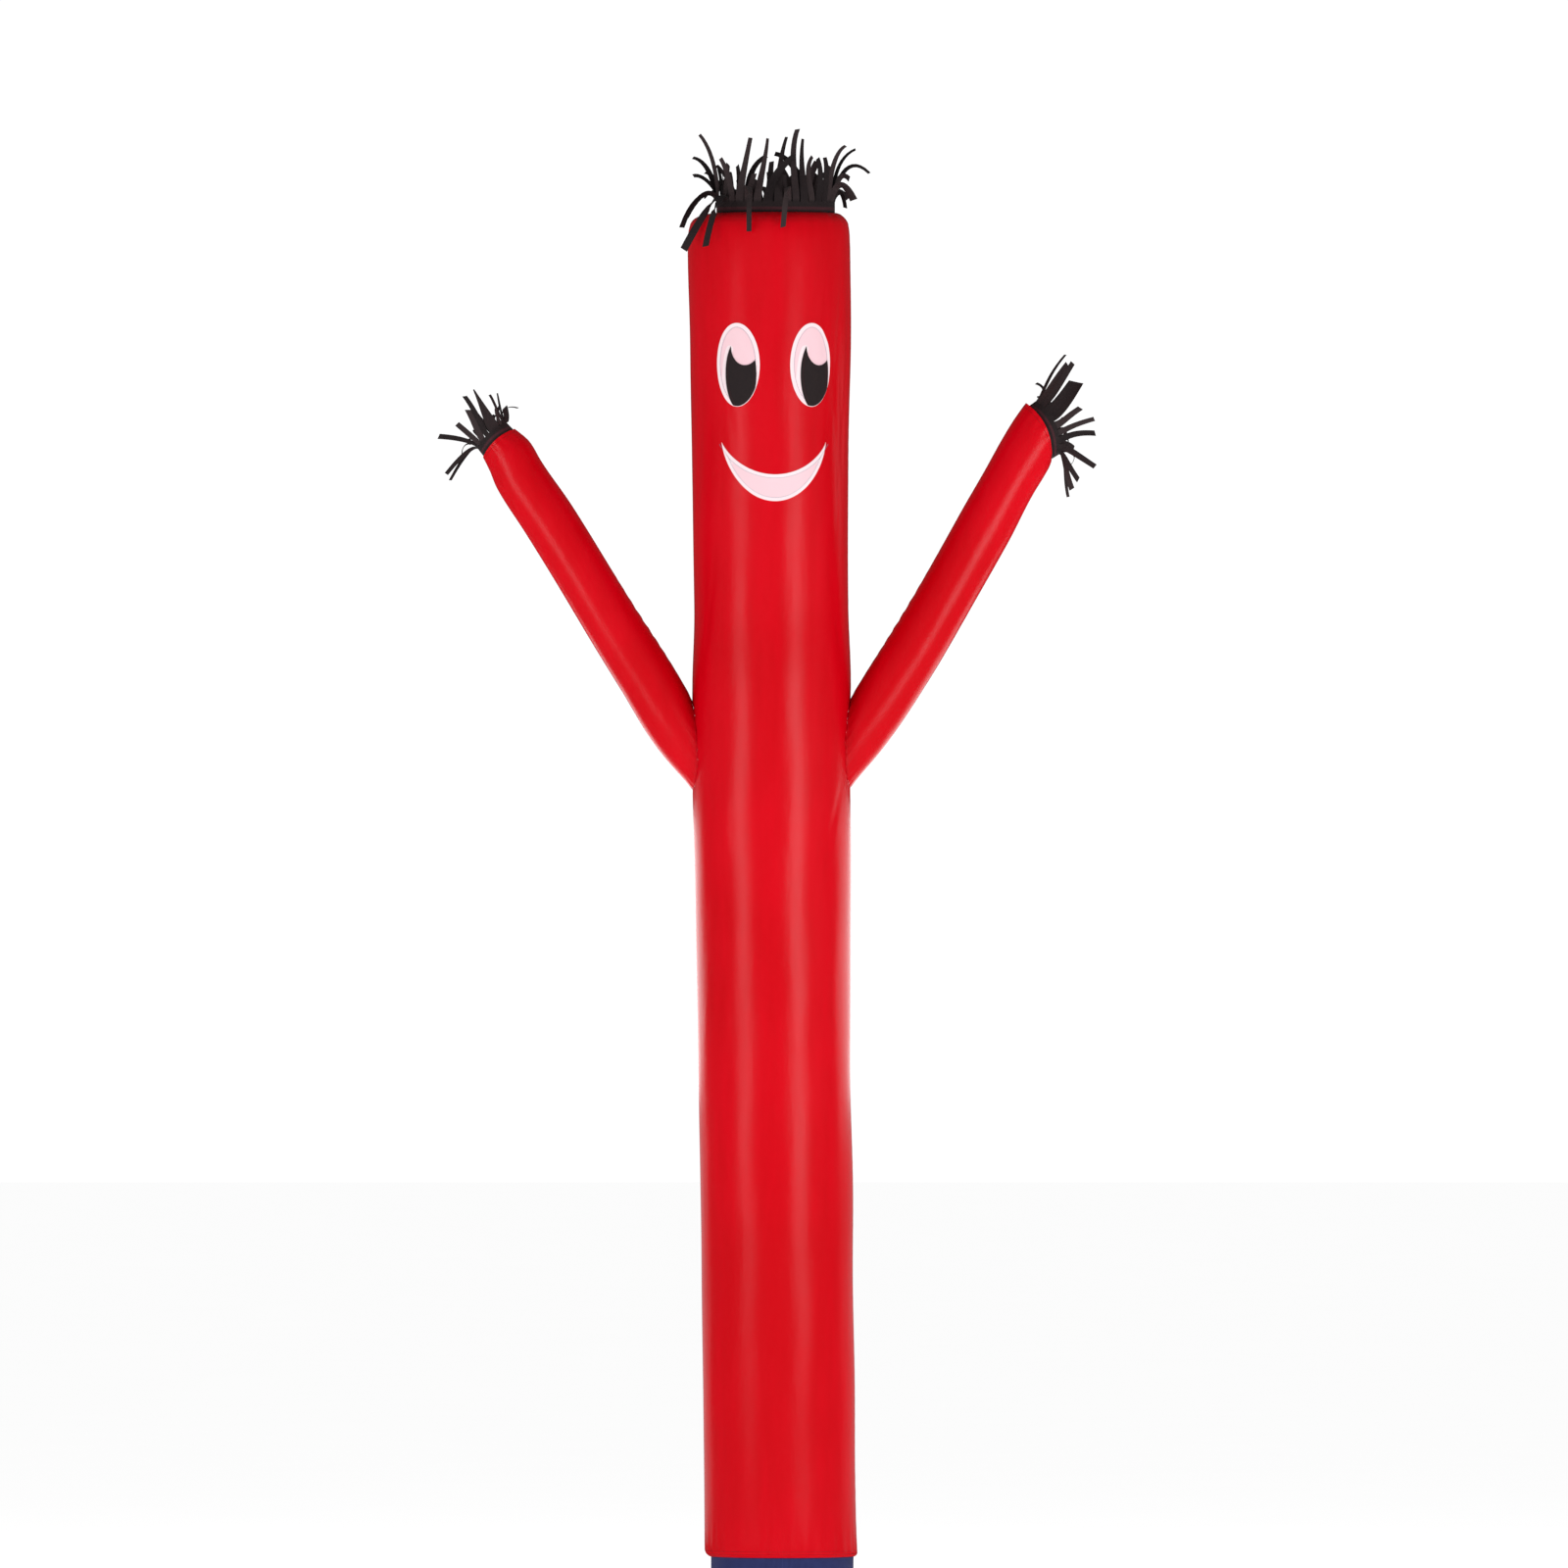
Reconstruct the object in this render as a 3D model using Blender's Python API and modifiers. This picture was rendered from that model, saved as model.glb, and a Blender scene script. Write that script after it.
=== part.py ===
"""Inflatable air dancer, standing blown up on its hem.

A tall cloth tube with two raised arms sewn into its sides, a navy cuff at the hem, black cloth fringes
round the open head and both open hands, and a sewn-on face. Metres, +Z up, the face towards -Y. The model
is worked out round the middle of the cuff, and one empty then places the whole over its origin.
"""

import math
import random
from collections import namedtuple

import bmesh
import bpy
from mathutils import Vector
from mathutils.kdtree import KDTree

# Cloth and sewing
CLOTH = 0.002
STRIP_CLOTH = 0.0012
GAP = 0.0003
STITCH_INSET = 0.0013
BODY_SIDES = 40
ARM_SIDES = 24
FRONT = Vector((0, -1, 0))
UP = Vector((0, 0, 1))

# Where the middle of the cuff stands, seen from the middle of the whole figure's box
STAND = Vector((0.032, 0.006, 0))

# The body, from its hem up to the open vent in the head
Section = namedtuple("Section", "height middle_x radius")
BODY = [
    Section(0.0500, 0.0000, 0.1527),
    Section(0.0520, -0.0005, 0.1555),
    Section(0.0560, -0.0015, 0.1583),
    Section(0.0640, -0.0030, 0.1597),
    Section(0.2310, -0.0058, 0.1590),
    Section(0.4370, -0.0078, 0.1597),
    Section(0.6430, -0.0099, 0.1592),
    Section(0.8490, -0.0130, 0.1607),
    Section(1.0550, -0.0161, 0.1597),
    Section(1.2610, -0.0181, 0.1617),
    Section(1.4670, -0.0202, 0.1638),
    Section(1.6220, -0.0222, 0.1658),
    Section(1.8790, -0.0230, 0.1669),
    Section(2.0440, -0.0235, 0.1622),
    Section(2.3740, -0.0253, 0.1648),
    Section(2.5800, -0.0255, 0.1690),
    Section(2.7860, -0.0274, 0.1710),
    Section(2.8270, -0.0274, 0.1700),
    Section(2.8500, -0.0270, 0.1662),
    Section(2.8600, -0.0260, 0.1600),
    Section(2.8670, -0.0235, 0.1500),
    Section(2.8715, -0.0185, 0.1380),
    Section(2.8735, -0.0140, 0.1262),
]
LONGEST_STEP = 0.16

# Soft, slow waves of the blown cloth, each so many times round and at so many radians a metre
Wave = namedtuple("Wave", "times_round rise phase share")
SLACK = 0.0012
SLACK_FADE = 0.05
SLACK_WAVES = [Wave(3, 11, 0, 1.0), Wave(5, -17, 1.3, 0.7)]

CUFF_HEIGHT = 0.056
CUFF_RADIUS = 0.1504
CUFF_CLOTH = 0.003

# The arms: each row is a ring of cloth in a plane that leans by tilt_deg from level, away from the body
ArmRing = namedtuple("ArmRing", "out height tilt_deg half_width half_depth bulge")
RIGHT_ARM = [
    ArmRing(0.0900, 1.6805, 82, 0.0600, 0.0560, 0),
    ArmRing(0.1446, 1.7600, 84, 0.0830, 0.0585, 0),
    ArmRing(0.1950, 1.8280, 64, 0.0690, 0.0597, 0),
    ArmRing(0.2560, 1.9220, 42, 0.0610, 0.0597, 0),
    ArmRing(0.3210, 2.0300, 30, 0.0597, 0.0600, 0),
    ArmRing(0.4227, 2.2089, 30, 0.0590, 0.0590, 0),
    ArmRing(0.4742, 2.3036, 31, 0.0564, 0.0585, 0),
    ArmRing(0.5134, 2.3716, 46, 0.0604, 0.0575, 0.008),
    ArmRing(0.5387, 2.4138, 66, 0.0663, 0.0560, 0.018),
]
LEFT_ARM = [
    ArmRing(0.1355, 1.6805, 82, 0.0600, 0.0560, 0),
    ArmRing(0.1912, 1.7560, 84, 0.0830, 0.0585, 0),
    ArmRing(0.2375, 1.8186, 62, 0.0690, 0.0597, 0),
    ArmRing(0.2900, 1.9050, 40, 0.0600, 0.0597, 0),
    ArmRing(0.3560, 2.0100, 31, 0.0585, 0.0595, 0),
    ArmRing(0.4909, 2.2295, 32, 0.0565, 0.0585, 0),
    ArmRing(0.5537, 2.3242, 32, 0.0546, 0.0565, 0),
    ArmRing(0.5740, 2.3640, 35, 0.0520, 0.0535, 0.003),
    ArmRing(0.5960, 2.3900, 42, 0.0446, 0.0470, 0.009),
]
CUTTER_RINGS = 4

# The face, on the flat cloth: x runs round the body from the middle of the face, z up from the eyes
FACE_TURN_DEG = 3.5
EYE_HEIGHT = 2.5523
EYE_APART = 0.0815
EYE_HALF = (0.0495, 0.0878)
PUPIL_MIDDLE = (0.0080, -0.0200)
PUPIL_HALF = (0.0345, 0.0750)
GLINT_MIDDLE = (0.0180, 0.0390)
GLINT_HALF = (0.0315, 0.0400)
SMILE_HEIGHT = 2.3900
SMILE_HALF_WIDTH = 0.1191
SMILE_UPPER_SAG = 0.0676
SMILE_LOWER_SAG = 0.1236
SMILE_UPPER_ROUND = 0.85
SMILE_LOWER_ROUND = 0.70
FACE_STEP = 0.06
OUTLINE_POINTS = 36

# Fringes: strips cut from a band that is tucked into the edge of the red cloth
TUCK = 0.012
HAND_TUCK = 0.008
VENT_INSET = 0.0016
RIGHT_SLANT, LEFT_SLANT = 2.0, 1.4
SLIT = 0.0024
LEAD = 0.35
FLARE = 1.4
WIDE_STRIP = 0.018
CROSSING_ROOM = 0.0046
TEST_STEPS = 6
TRIES = 120
HEAD_STEPS, HAND_STEPS = 4, 3
ROOM_ABOVE_HEAD, ROOM_BESIDE_HEAD, ROOM_AT_ARM = 0.006, 0.008, 0.002
BACK_REACH = 0.1765

# The seeded strips that fill a fringe where its table has none; droop 0 stands up, 1 bends right over
Loose = namedtuple("Loose", "seed pitch narrow wide short long least_droop most_droop lean")
HEAD_LOOSE = Loose(11, 0.0124, 0.009, 0.014, 0.055, 0.125, 0.12, 1.05, 0.15)
INNER_LOOSE = Loose(3, 0.0158, 0.0125, 0.0145, 0.055, 0.100, 0.05, 0.35, -0.08)
RIGHT_LOOSE = Loose(5, 0.0124, 0.007, 0.013, 0.050, 0.090, 0.12, 1.05, 0.15)
LEFT_LOOSE = Loose(8, 0.0124, 0.007, 0.013, 0.050, 0.090, 0.12, 1.05, 0.15)
MOST_SWAY = 0.35
MOST_FACING = 1.2
ELBOW_RISE, ELBOW_DROOP, ELBOW_SWAY = 0.55, 0.25, 0.4
TIP_DROOP = 0.55
LEAST_TAPER = 0.7
LAYERS_APART = 0.010
Layer = namedtuple("Layer", "strips ring foot_ring band steps")

Strip = namedtuple("Strip", "root_deg width tip_width elbow tip facing", defaults=[2.0])
HEAD_BAND = 0.022
HEAD_STRIPS = [
    Strip(-96, 0.010, 0.006, (-0.142, 0.020, 0.090), (-0.174, 0.030, 0.095)),
    Strip(-84, 0.013, 0.012, (-0.150, -0.010, 0.045), (-0.188, -0.020, -0.033)),
    Strip(-77, 0.012, 0.007, (-0.128, -0.030, 0.105), (-0.160, -0.045, 0.142)),
    Strip(-70, 0.013, 0.012, (-0.165, -0.062, 0.040), (-0.197, -0.075, -0.054)),
    Strip(-62, 0.015, 0.016, (-0.132, -0.122, 0.014), (-0.193, -0.110, -0.101)),
    Strip(-55, 0.0125, 0.013, (-0.127, -0.148, 0.012), (-0.147, -0.160, -0.095)),
    Strip(-48, 0.013, 0.010, (-0.098, -0.090, 0.060), (-0.116, -0.096, 0.091)),
    Strip(-38, 0.014, 0.009, (-0.068, -0.100, 0.060), (-0.053, -0.110, 0.134)),
    Strip(-27, 0.014, 0.011, (-0.056, -0.200, 0.060), (-0.056, -0.1815, -0.064)),
    Strip(-18, 0.014, 0.006, (-0.022, -0.110, 0.080), (-0.017, -0.105, 0.133)),
    Strip(-8, 0.015, 0.012, (0.000, -0.127, 0.070), (0.040, -0.134, 0.095)),
    Strip(3, 0.013, 0.006, (0.006, -0.110, 0.085), (0.023, -0.100, 0.136)),
    Strip(12, 0.013, 0.011, (0.026, -0.200, 0.060), (0.0155, -0.183, -0.055)),
    Strip(20, 0.013, 0.011, (0.028, -0.100, 0.105), (0.046, -0.100, 0.152)),
    Strip(29, 0.014, 0.006, (0.050, -0.095, 0.080), (0.057, -0.090, 0.132)),
    Strip(38, 0.012, 0.007, (0.058, -0.095, 0.070), (0.077, -0.090, 0.095)),
    Strip(46, 0.013, 0.009, (0.100, -0.100, 0.060), (0.088, -0.100, 0.091)),
    Strip(55, 0.013, 0.008, (0.112, -0.080, 0.065), (0.103, -0.085, 0.093)),
    Strip(64, 0.013, 0.006, (0.120, -0.055, 0.105), (0.147, -0.060, 0.118)),
    Strip(72, 0.019, 0.018, (0.135, -0.045, 0.065), (0.164, -0.060, 0.004)),
    Strip(80, 0.013, 0.010, (0.140, -0.020, 0.040), (0.146, -0.030, -0.012)),
    Strip(88, 0.015, 0.013, (0.132, 0.000, 0.075), (0.155, 0.000, 0.049)),
    Strip(97, 0.011, 0.006, (0.150, 0.020, 0.110), (0.197, 0.025, 0.062)),
    Strip(106, 0.010, 0.006, (0.125, 0.040, 0.095), (0.168, 0.050, 0.113)),
    Strip(150, 0.011, 0.009, (0.036, 0.102, 0.100), (-0.002, 0.090, 0.105)),
    Strip(-150, 0.011, 0.009, (-0.060, 0.108, 0.080), (-0.020, 0.098, 0.100)),
]
HAND_BAND = 0.020
RIGHT_HAND_STRIPS = [
    Strip(-88, 0.010, 0.006, (-0.006, 0.000, 0.104), (0.038, 0.004, 0.154)),
    Strip(-68, 0.017, 0.012, (0.011, -0.034, 0.094), (0.042, -0.040, 0.133)),
    Strip(-52, 0.016, 0.011, (0.022, -0.052, 0.086), (0.053, -0.058, 0.136)),
    Strip(-24, 0.034, 0.034, (0.036, -0.066, 0.058), (0.060, -0.070, 0.096)),
    Strip(4, 0.014, 0.012, (0.040, -0.072, 0.022), (0.069, -0.078, 0.041)),
    Strip(18, 0.012, 0.010, (0.052, -0.066, 0.006), (0.098, -0.070, 0.018)),
    Strip(34, 0.012, 0.011, (0.054, -0.054, -0.008), (0.100, -0.058, -0.012)),
    Strip(54, 0.015, 0.014, (0.054, -0.042, -0.052), (0.100, -0.044, -0.082)),
    Strip(72, 0.013, 0.011, (0.038, -0.020, -0.072), (0.065, -0.020, -0.110)),
    Strip(86, 0.012, 0.011, (0.036, 0.002, -0.089), (0.052, 0.004, -0.129)),
    Strip(100, 0.010, 0.007, (0.034, 0.024, -0.104), (0.044, 0.030, -0.145)),
]
LEFT_HAND_STRIPS = [
    Strip(-84, 0.012, 0.014, (0.033, -0.004, 0.036), (0.026, -0.006, 0.060)),
    Strip(-18, 0.026, 0.003, (-0.016, -0.056, 0.054), (-0.039, -0.060, 0.097)),
    Strip(10, 0.014, 0.010, (-0.030, -0.058, 0.046), (-0.058, -0.064, 0.083)),
    Strip(30, 0.017, 0.013, (-0.034, -0.048, 0.024), (-0.051, -0.052, 0.054)),
    Strip(50, 0.014, 0.011, (-0.044, -0.036, -0.001), (-0.074, -0.040, 0.025)),
    Strip(66, 0.013, 0.012, (-0.066, -0.022, -0.004), (-0.113, -0.024, -0.001)),
    Strip(82, 0.012, 0.008, (-0.060, -0.004, -0.034), (-0.097, -0.004, -0.080)),
    Strip(98, 0.010, 0.006, (-0.068, 0.016, -0.054), (-0.089, 0.020, -0.093)),
]

Finish = namedtuple("Finish", "colour roughness")
FINISHES = {
    "red_nylon": Finish((0.66, 0.003, 0.008), 0.42),
    "navy_webbing": Finish((0.030, 0.045, 0.15), 0.6),
    "black_cloth": Finish((0.018, 0.014, 0.015), 0.75),
    "white_cloth": Finish((0.90, 0.80, 0.82), 0.6),
}

Ring = namedtuple("Ring", "middle across front normal half_width half_depth bulge")


def ring_point(ring, angle, grow=0.0, along=0.0):
    """A point of the ring: angle 0 faces the viewer and grows towards the ring's across direction."""
    point = ring.middle + ring.across * (ring.half_width + grow) * math.sin(angle)
    point = point + ring.front * (ring.half_depth + grow) * math.cos(angle)
    return point + ring.normal * (ring.bulge * math.cos(angle) ** 2 + along)


def smooth_step(value):
    value = min(max(value, 0.0), 1.0)
    return value * value * (3 - 2 * value)


def body_section(height):
    """Middle and radius of the body at this height, straight between the rows of its table."""
    for low, high in zip(BODY, BODY[1:]):
        if height <= high.height:
            break
    share = (height - low.height) / (high.height - low.height)
    return (
        low.middle_x + share * (high.middle_x - low.middle_x),
        low.radius + share * (high.radius - low.radius),
    )


def body_heights():
    heights = [BODY[0].height]
    for low, high in zip(BODY, BODY[1:]):
        steps = math.ceil((high.height - low.height) / LONGEST_STEP)
        rise = (high.height - low.height) / steps
        heights += [low.height + rise * step for step in range(1, steps + 1)]
    return heights


def slack(angle, height):
    """How far the blown cloth stands out or in here: its waves end at the hem and at the vent."""
    wave = 0
    for row in SLACK_WAVES:
        wave += row.share * math.sin(row.times_round * angle + row.rise * height + row.phase)
    ends = min(height - BODY[0].height, BODY[-1].height - height) / SLACK_FADE
    return SLACK * wave * smooth_step(ends)


def body_row(height, grow=0.0):
    middle_x, radius = body_section(height)
    ring = Ring(Vector((middle_x, 0, height)), Vector((1, 0, 0)), FRONT, UP, radius, radius, 0)
    angles = [2 * math.pi * side / BODY_SIDES for side in range(BODY_SIDES)]
    return [ring_point(ring, angle, grow + slack(angle, height)) for angle in angles]


def arm_ring(row, side):
    tilt = math.radians(row.tilt_deg)
    return Ring(
        Vector((side * row.out, 0, row.height)),
        Vector((side * math.cos(tilt), 0, -math.sin(tilt))),
        FRONT,
        Vector((side * math.sin(tilt), 0, math.cos(tilt))),
        row.half_width,
        row.half_depth,
        row.bulge,
    )


def arm_row(row, side, grow=0.0):
    ring = arm_ring(row, side)
    angles = [2 * math.pi * step / ARM_SIDES for step in range(ARM_SIDES)]
    return [ring_point(ring, angle, grow) for angle in angles]


def loft(name, rows, capped=False):
    """A mesh through rings of equally many points, its faces pointing away from the rings' middles.

    All lofts split their faces along the same diagonals, so sheets that lie on each other keep their gap.
    """
    mesh = bmesh.new()
    rings = [[mesh.verts.new(point) for point in row] for row in rows]
    for low, high in zip(rings, rings[1:]):
        for side in range(len(low)):
            after = (side + 1) % len(low)
            mesh.faces.new((low[side], low[after], high[after], high[side]))
    bmesh.ops.triangulate(mesh, faces=mesh.faces[:], quad_method="FIXED")
    if capped:
        mesh.faces.new(rings[0])
        mesh.faces.new(rings[-1])
    mesh.normal_update()
    first = mesh.faces[:][0]
    middle = sum(rows[0], Vector()) / len(rows[0])
    if capped:
        bmesh.ops.recalc_face_normals(mesh, faces=mesh.faces[:])
    elif first.normal.dot(first.calc_center_median() - middle) < 0:
        bmesh.ops.reverse_faces(mesh, faces=mesh.faces[:])
    return finished(name, mesh)


def finished(name, mesh):
    data = bpy.data.meshes.new(name)
    mesh.to_mesh(data)
    mesh.free()
    data.shade_smooth()
    return bpy.data.objects.new(name, data)


def collection(name):
    made = bpy.data.collections.new(name)
    bpy.context.scene.collection.children.link(made)
    return made


def material(name):
    finish = FINISHES[name]
    made = bpy.data.materials.new(name)
    made.use_nodes = True
    shader = made.node_tree.nodes["Principled BSDF"]
    shader.inputs["Base Color"].default_value = (*finish.colour, 1)
    shader.inputs["Roughness"].default_value = finish.roughness
    made.diffuse_color = (*finish.colour, 1)
    return made


def wall(piece, thickness, offset=-1.0):
    solid = piece.modifiers.new("wall", "SOLIDIFY")
    solid.thickness = thickness
    solid.offset = offset
    solid.use_even_offset = True


def boolean(piece, cutter, operation):
    cut = piece.modifiers.new(operation.lower() + "_" + cutter.name, "BOOLEAN")
    cut.operation = operation
    cut.object = cutter


def as_cutter(piece, cutters, root):
    cutters.objects.link(piece)
    piece.parent = root
    piece.hide_render = True
    piece.display_type = "WIRE"
    return piece


def body_tube():
    piece = loft("body_tube", [body_row(height) for height in body_heights()])
    wall(piece, CLOTH)
    return piece


def base_cuff():
    ring = Ring(Vector(), Vector((1, 0, 0)), FRONT, UP, CUFF_RADIUS, CUFF_RADIUS, 0)
    angles = [2 * math.pi * side / BODY_SIDES for side in range(BODY_SIDES)]
    rows = [[ring_point(ring, angle, along=height) for angle in angles] for height in (0, CUFF_HEIGHT)]
    piece = loft("base_cuff", rows)
    wall(piece, CUFF_CLOTH)
    return piece


def body_cutter():
    """The whole room that the body takes up, with the gap that the arms keep to it."""
    return loft("body_room", [body_row(height, GAP) for height in body_heights()], capped=True)


def arm(name, table, side):
    piece = loft(name, [arm_row(row, side) for row in table])
    wall(piece, CLOTH)
    return piece


def arm_cutter(name, table, side):
    """The bore at the arm's root, which opens it into the body."""
    return loft(name, [arm_row(row, side, -CLOTH) for row in table[:CUTTER_RINGS]], capped=True)


def oval(middle, half):
    turns = [2 * math.pi * step / OUTLINE_POINTS for step in range(OUTLINE_POINTS)]
    return [(middle[0] + half[0] * math.cos(t), middle[1] + half[1] * math.sin(t)) for t in turns]


def crescent():
    """The smile: one long sagging curve from corner to corner, and a shallower one back."""
    steps = OUTLINE_POINTS // 2
    across = [-math.cos(math.pi * step / steps) for step in range(steps + 1)]
    lower = [(x, -SMILE_LOWER_SAG * (1 - x * x) ** SMILE_LOWER_ROUND) for x in across]
    upper = [(x, -SMILE_UPPER_SAG * (1 - x * x) ** SMILE_UPPER_ROUND) for x in reversed(across[1:-1])]
    return [(SMILE_HALF_WIDTH * x, z) for x, z in lower + upper]


def stamp(name, outline, turn_deg, height):
    """A prism through the front of the body over an outline that was drawn on the flat cloth."""
    middle_x, radius = body_section(height)
    mesh = bmesh.new()
    near = []
    for x, z in outline:
        angle = math.radians(turn_deg) + x / radius
        near.append(mesh.verts.new((middle_x + radius * math.sin(angle), -2 * radius, height + z)))
    face = mesh.faces.new(near)
    far = bmesh.ops.extrude_face_region(mesh, geom=[face])["geom"]
    moved = [item for item in far if isinstance(item, bmesh.types.BMVert)]
    bmesh.ops.translate(mesh, verts=moved, vec=(0, 2 * radius, 0))
    bmesh.ops.recalc_face_normals(mesh, faces=mesh.faces[:])
    return finished(name, mesh)


def face_cloth(name, low, high, layer):
    """A sheet round the body between two heights: layer 0 lies on the red cloth, layer 1 on layer 0."""
    heights = [height for height in body_heights() if low < height < high]
    grow = GAP + layer * (CLOTH + GAP)
    piece = loft(name, [body_row(height, grow) for height in [low, *heights, high]])
    wall(piece, CLOTH, offset=1.0)
    return piece


def eye_pieces(side_name, side, cutters, root):
    turn = FACE_TURN_DEG + math.degrees(side * EYE_APART / body_section(EYE_HEIGHT)[1])
    reach = EYE_HALF[1] + FACE_STEP
    span = (EYE_HEIGHT - reach, EYE_HEIGHT + reach)
    inner = [half - STITCH_INSET for half in EYE_HALF]

    white = face_cloth(f"eye_white_{side_name}", *span, layer=0)
    outline = stamp(f"eye_outline_{side_name}", oval((0, 0), EYE_HALF), turn, EYE_HEIGHT)
    boolean(white, as_cutter(outline, cutters, root), "INTERSECT")

    pupil = face_cloth(f"pupil_{side_name}", *span, layer=1)
    shapes = (
        ("pupil_outline", oval(PUPIL_MIDDLE, PUPIL_HALF), "INTERSECT"),
        ("pupil_limit", oval((0, 0), inner), "INTERSECT"),
        ("pupil_glint", oval(GLINT_MIDDLE, GLINT_HALF), "DIFFERENCE"),
    )
    for shape, points, operation in shapes:
        cutter = stamp(f"{shape}_{side_name}", points, turn, EYE_HEIGHT)
        boolean(pupil, as_cutter(cutter, cutters, root), operation)
    return white, pupil


def smile_piece(cutters, root):
    reach = SMILE_LOWER_SAG + FACE_STEP
    smile = face_cloth("smile", SMILE_HEIGHT - reach, SMILE_HEIGHT + FACE_STEP, layer=0)
    outline = stamp("smile_outline", crescent(), FACE_TURN_DEG, SMILE_HEIGHT)
    boolean(smile, as_cutter(outline, cutters, root), "INTERSECT")
    return smile


def strip_path(start, lead, elbow, tip, steps):
    """A strip's middle line: it leaves the band along lead, bends past the elbow and ends at the tip."""
    held = (start, start + lead * (elbow - start).length * LEAD, elbow, tip)
    line = []
    for step in range(steps + 1):
        t = step / steps
        shares = ((1 - t) ** 3, 3 * t * (1 - t) ** 2, 3 * t * t * (1 - t), t**3)
        line.append(sum((point * share for point, share in zip(held, shares)), Vector()))
    return line


def own_edges(strip, ring):
    """The two angles between which a strip of its own width leaves the ring."""
    angle = math.radians(strip.root_deg)
    nudge = math.radians(0.5)
    around = ring_point(ring, angle + nudge) - ring_point(ring, angle - nudge)
    half = nudge * strip.width / around.length
    return angle - half, angle + half


def slit_edges(strips, ring):
    """The two angles between which each strip's root lies: only slits part it from its neighbours."""
    half_slit = SLIT / (ring.half_width + ring.half_depth)
    around = [strips[-1]._replace(root_deg=strips[-1].root_deg - 360), *strips]
    around.append(strips[0]._replace(root_deg=strips[0].root_deg + 360))
    slits = []
    for before, after in zip(around, around[1:]):
        share = before.width / (before.width + after.width)
        slits.append(math.radians(before.root_deg + share * (after.root_deg - before.root_deg)))
    return [(start + half_slit, end - half_slit) for start, end in zip(slits, slits[1:])]


def view_side(strip, ring):
    """1 or -1: which way a strip's width points once it is turned to face the front."""
    around = math.cos(math.radians(strip.root_deg))
    return math.copysign(1, around * ring.across.dot(ring.normal.cross(FRONT)))


def strip_rows(strip, edges, ring, band, steps, columns=1):
    """Rows of points along a strip, from its root in the band's upper edge to the square-cut tip."""
    places = [place / columns for place in range(columns + 1)]
    root = [ring_point(ring, edges[0] + (edges[1] - edges[0]) * place, along=band) for place in places]
    start = ring_point(ring, sum(edges) / 2, along=band)
    rim = ring.middle + ring.normal * band
    line = strip_path(start, ring.normal, rim + Vector(strip.elbow), rim + Vector(strip.tip), steps)
    root_width = (root[-1] - root[0]).length
    side = (root[-1] - root[0]).normalized()
    facing = strip.facing * view_side(strip, ring)
    rows = [root]
    for step in range(1, steps + 1):
        ahead = (line[step] - line[step - 1]).normalized()
        side = (side - ahead * side.dot(ahead)).normalized()
        width = strip.width + (strip.tip_width - strip.width) * step / steps
        width += (root_width - width) * (1 - step / steps) ** FLARE
        turned = (side + ahead.cross(FRONT) * facing * step / steps).normalized()
        rows.append([line[step] + turned * width * (place - 0.5) for place in places])
    return rows


def loose_strip(root_deg, ring, loose, chance):
    """A strip of the seeded kind, for where the fringe has no strip of its own in the table."""
    angle = math.radians(root_deg)
    outward = ring.across * math.sin(angle) + ring.front * math.cos(angle)
    around = ring.across * math.cos(angle) - ring.front * math.sin(angle)
    width = chance.uniform(loose.narrow, loose.wide)
    reach = chance.uniform(loose.short, loose.long)
    droop = chance.uniform(loose.least_droop, loose.most_droop)
    sway = chance.uniform(-MOST_SWAY, MOST_SWAY) * reach
    start = outward * ring.half_width
    elbow = start + ring.normal * reach * ELBOW_RISE
    elbow = elbow + outward * reach * (loose.lean + ELBOW_DROOP * droop) + around * sway * ELBOW_SWAY
    tip = start + ring.normal * reach * (1 - droop)
    tip = tip + outward * reach * (loose.lean + TIP_DROOP * droop) + around * sway
    tip_width = width * chance.uniform(LEAST_TAPER, 1.0)
    return Strip(root_deg, width, tip_width, tuple(elbow), tuple(tip), chance.uniform(0, MOST_FACING))


def samples(strip, ring, band):
    """Points along a strip past its root, by which crossings with other strips are found."""
    rows = strip_rows(strip, own_edges(strip, ring), ring, band, TEST_STEPS)
    points = []
    for (left, right), (next_left, next_right) in zip(rows[1:], rows[2:]):
        for share in (0.0, 0.33, 0.66, 1.0):
            start, end = left.lerp(next_left, share), right.lerp(next_right, share)
            points += [start, start.lerp(end, 0.5), end]
    return points


def point_tree(points):
    tree = KDTree(len(points))
    for place, point in enumerate(points):
        tree.insert(point, place)
    tree.balance()
    return tree


def crosses(points, trees):
    return any(tree.find(point)[2] < CROSSING_ROOM for tree in trees for point in points)


def free_roots(table, loose, size):
    """Where seeded strips can leave the band: the angle in degrees and the width that fits there."""
    if not table:
        count = int(2 * math.pi * size // loose.pitch)
        return [((place + 0.5) * 360 / count - 180, loose.pitch - SLIT) for place in range(count)]
    around = [*table, table[0]._replace(root_deg=table[0].root_deg + 360)]
    roots = []
    for before, after in zip(around, around[1:]):
        start = before.root_deg + math.degrees((before.width / 2 + SLIT) / size)
        end = after.root_deg - math.degrees((after.width / 2 + SLIT) / size)
        room = math.radians(end - start) * size
        count = int((room + SLIT) // loose.pitch)
        for place in range(count):
            roots.append((start + (end - start) * (place + 0.5) / count, room / count - SLIT))
    return roots


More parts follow.
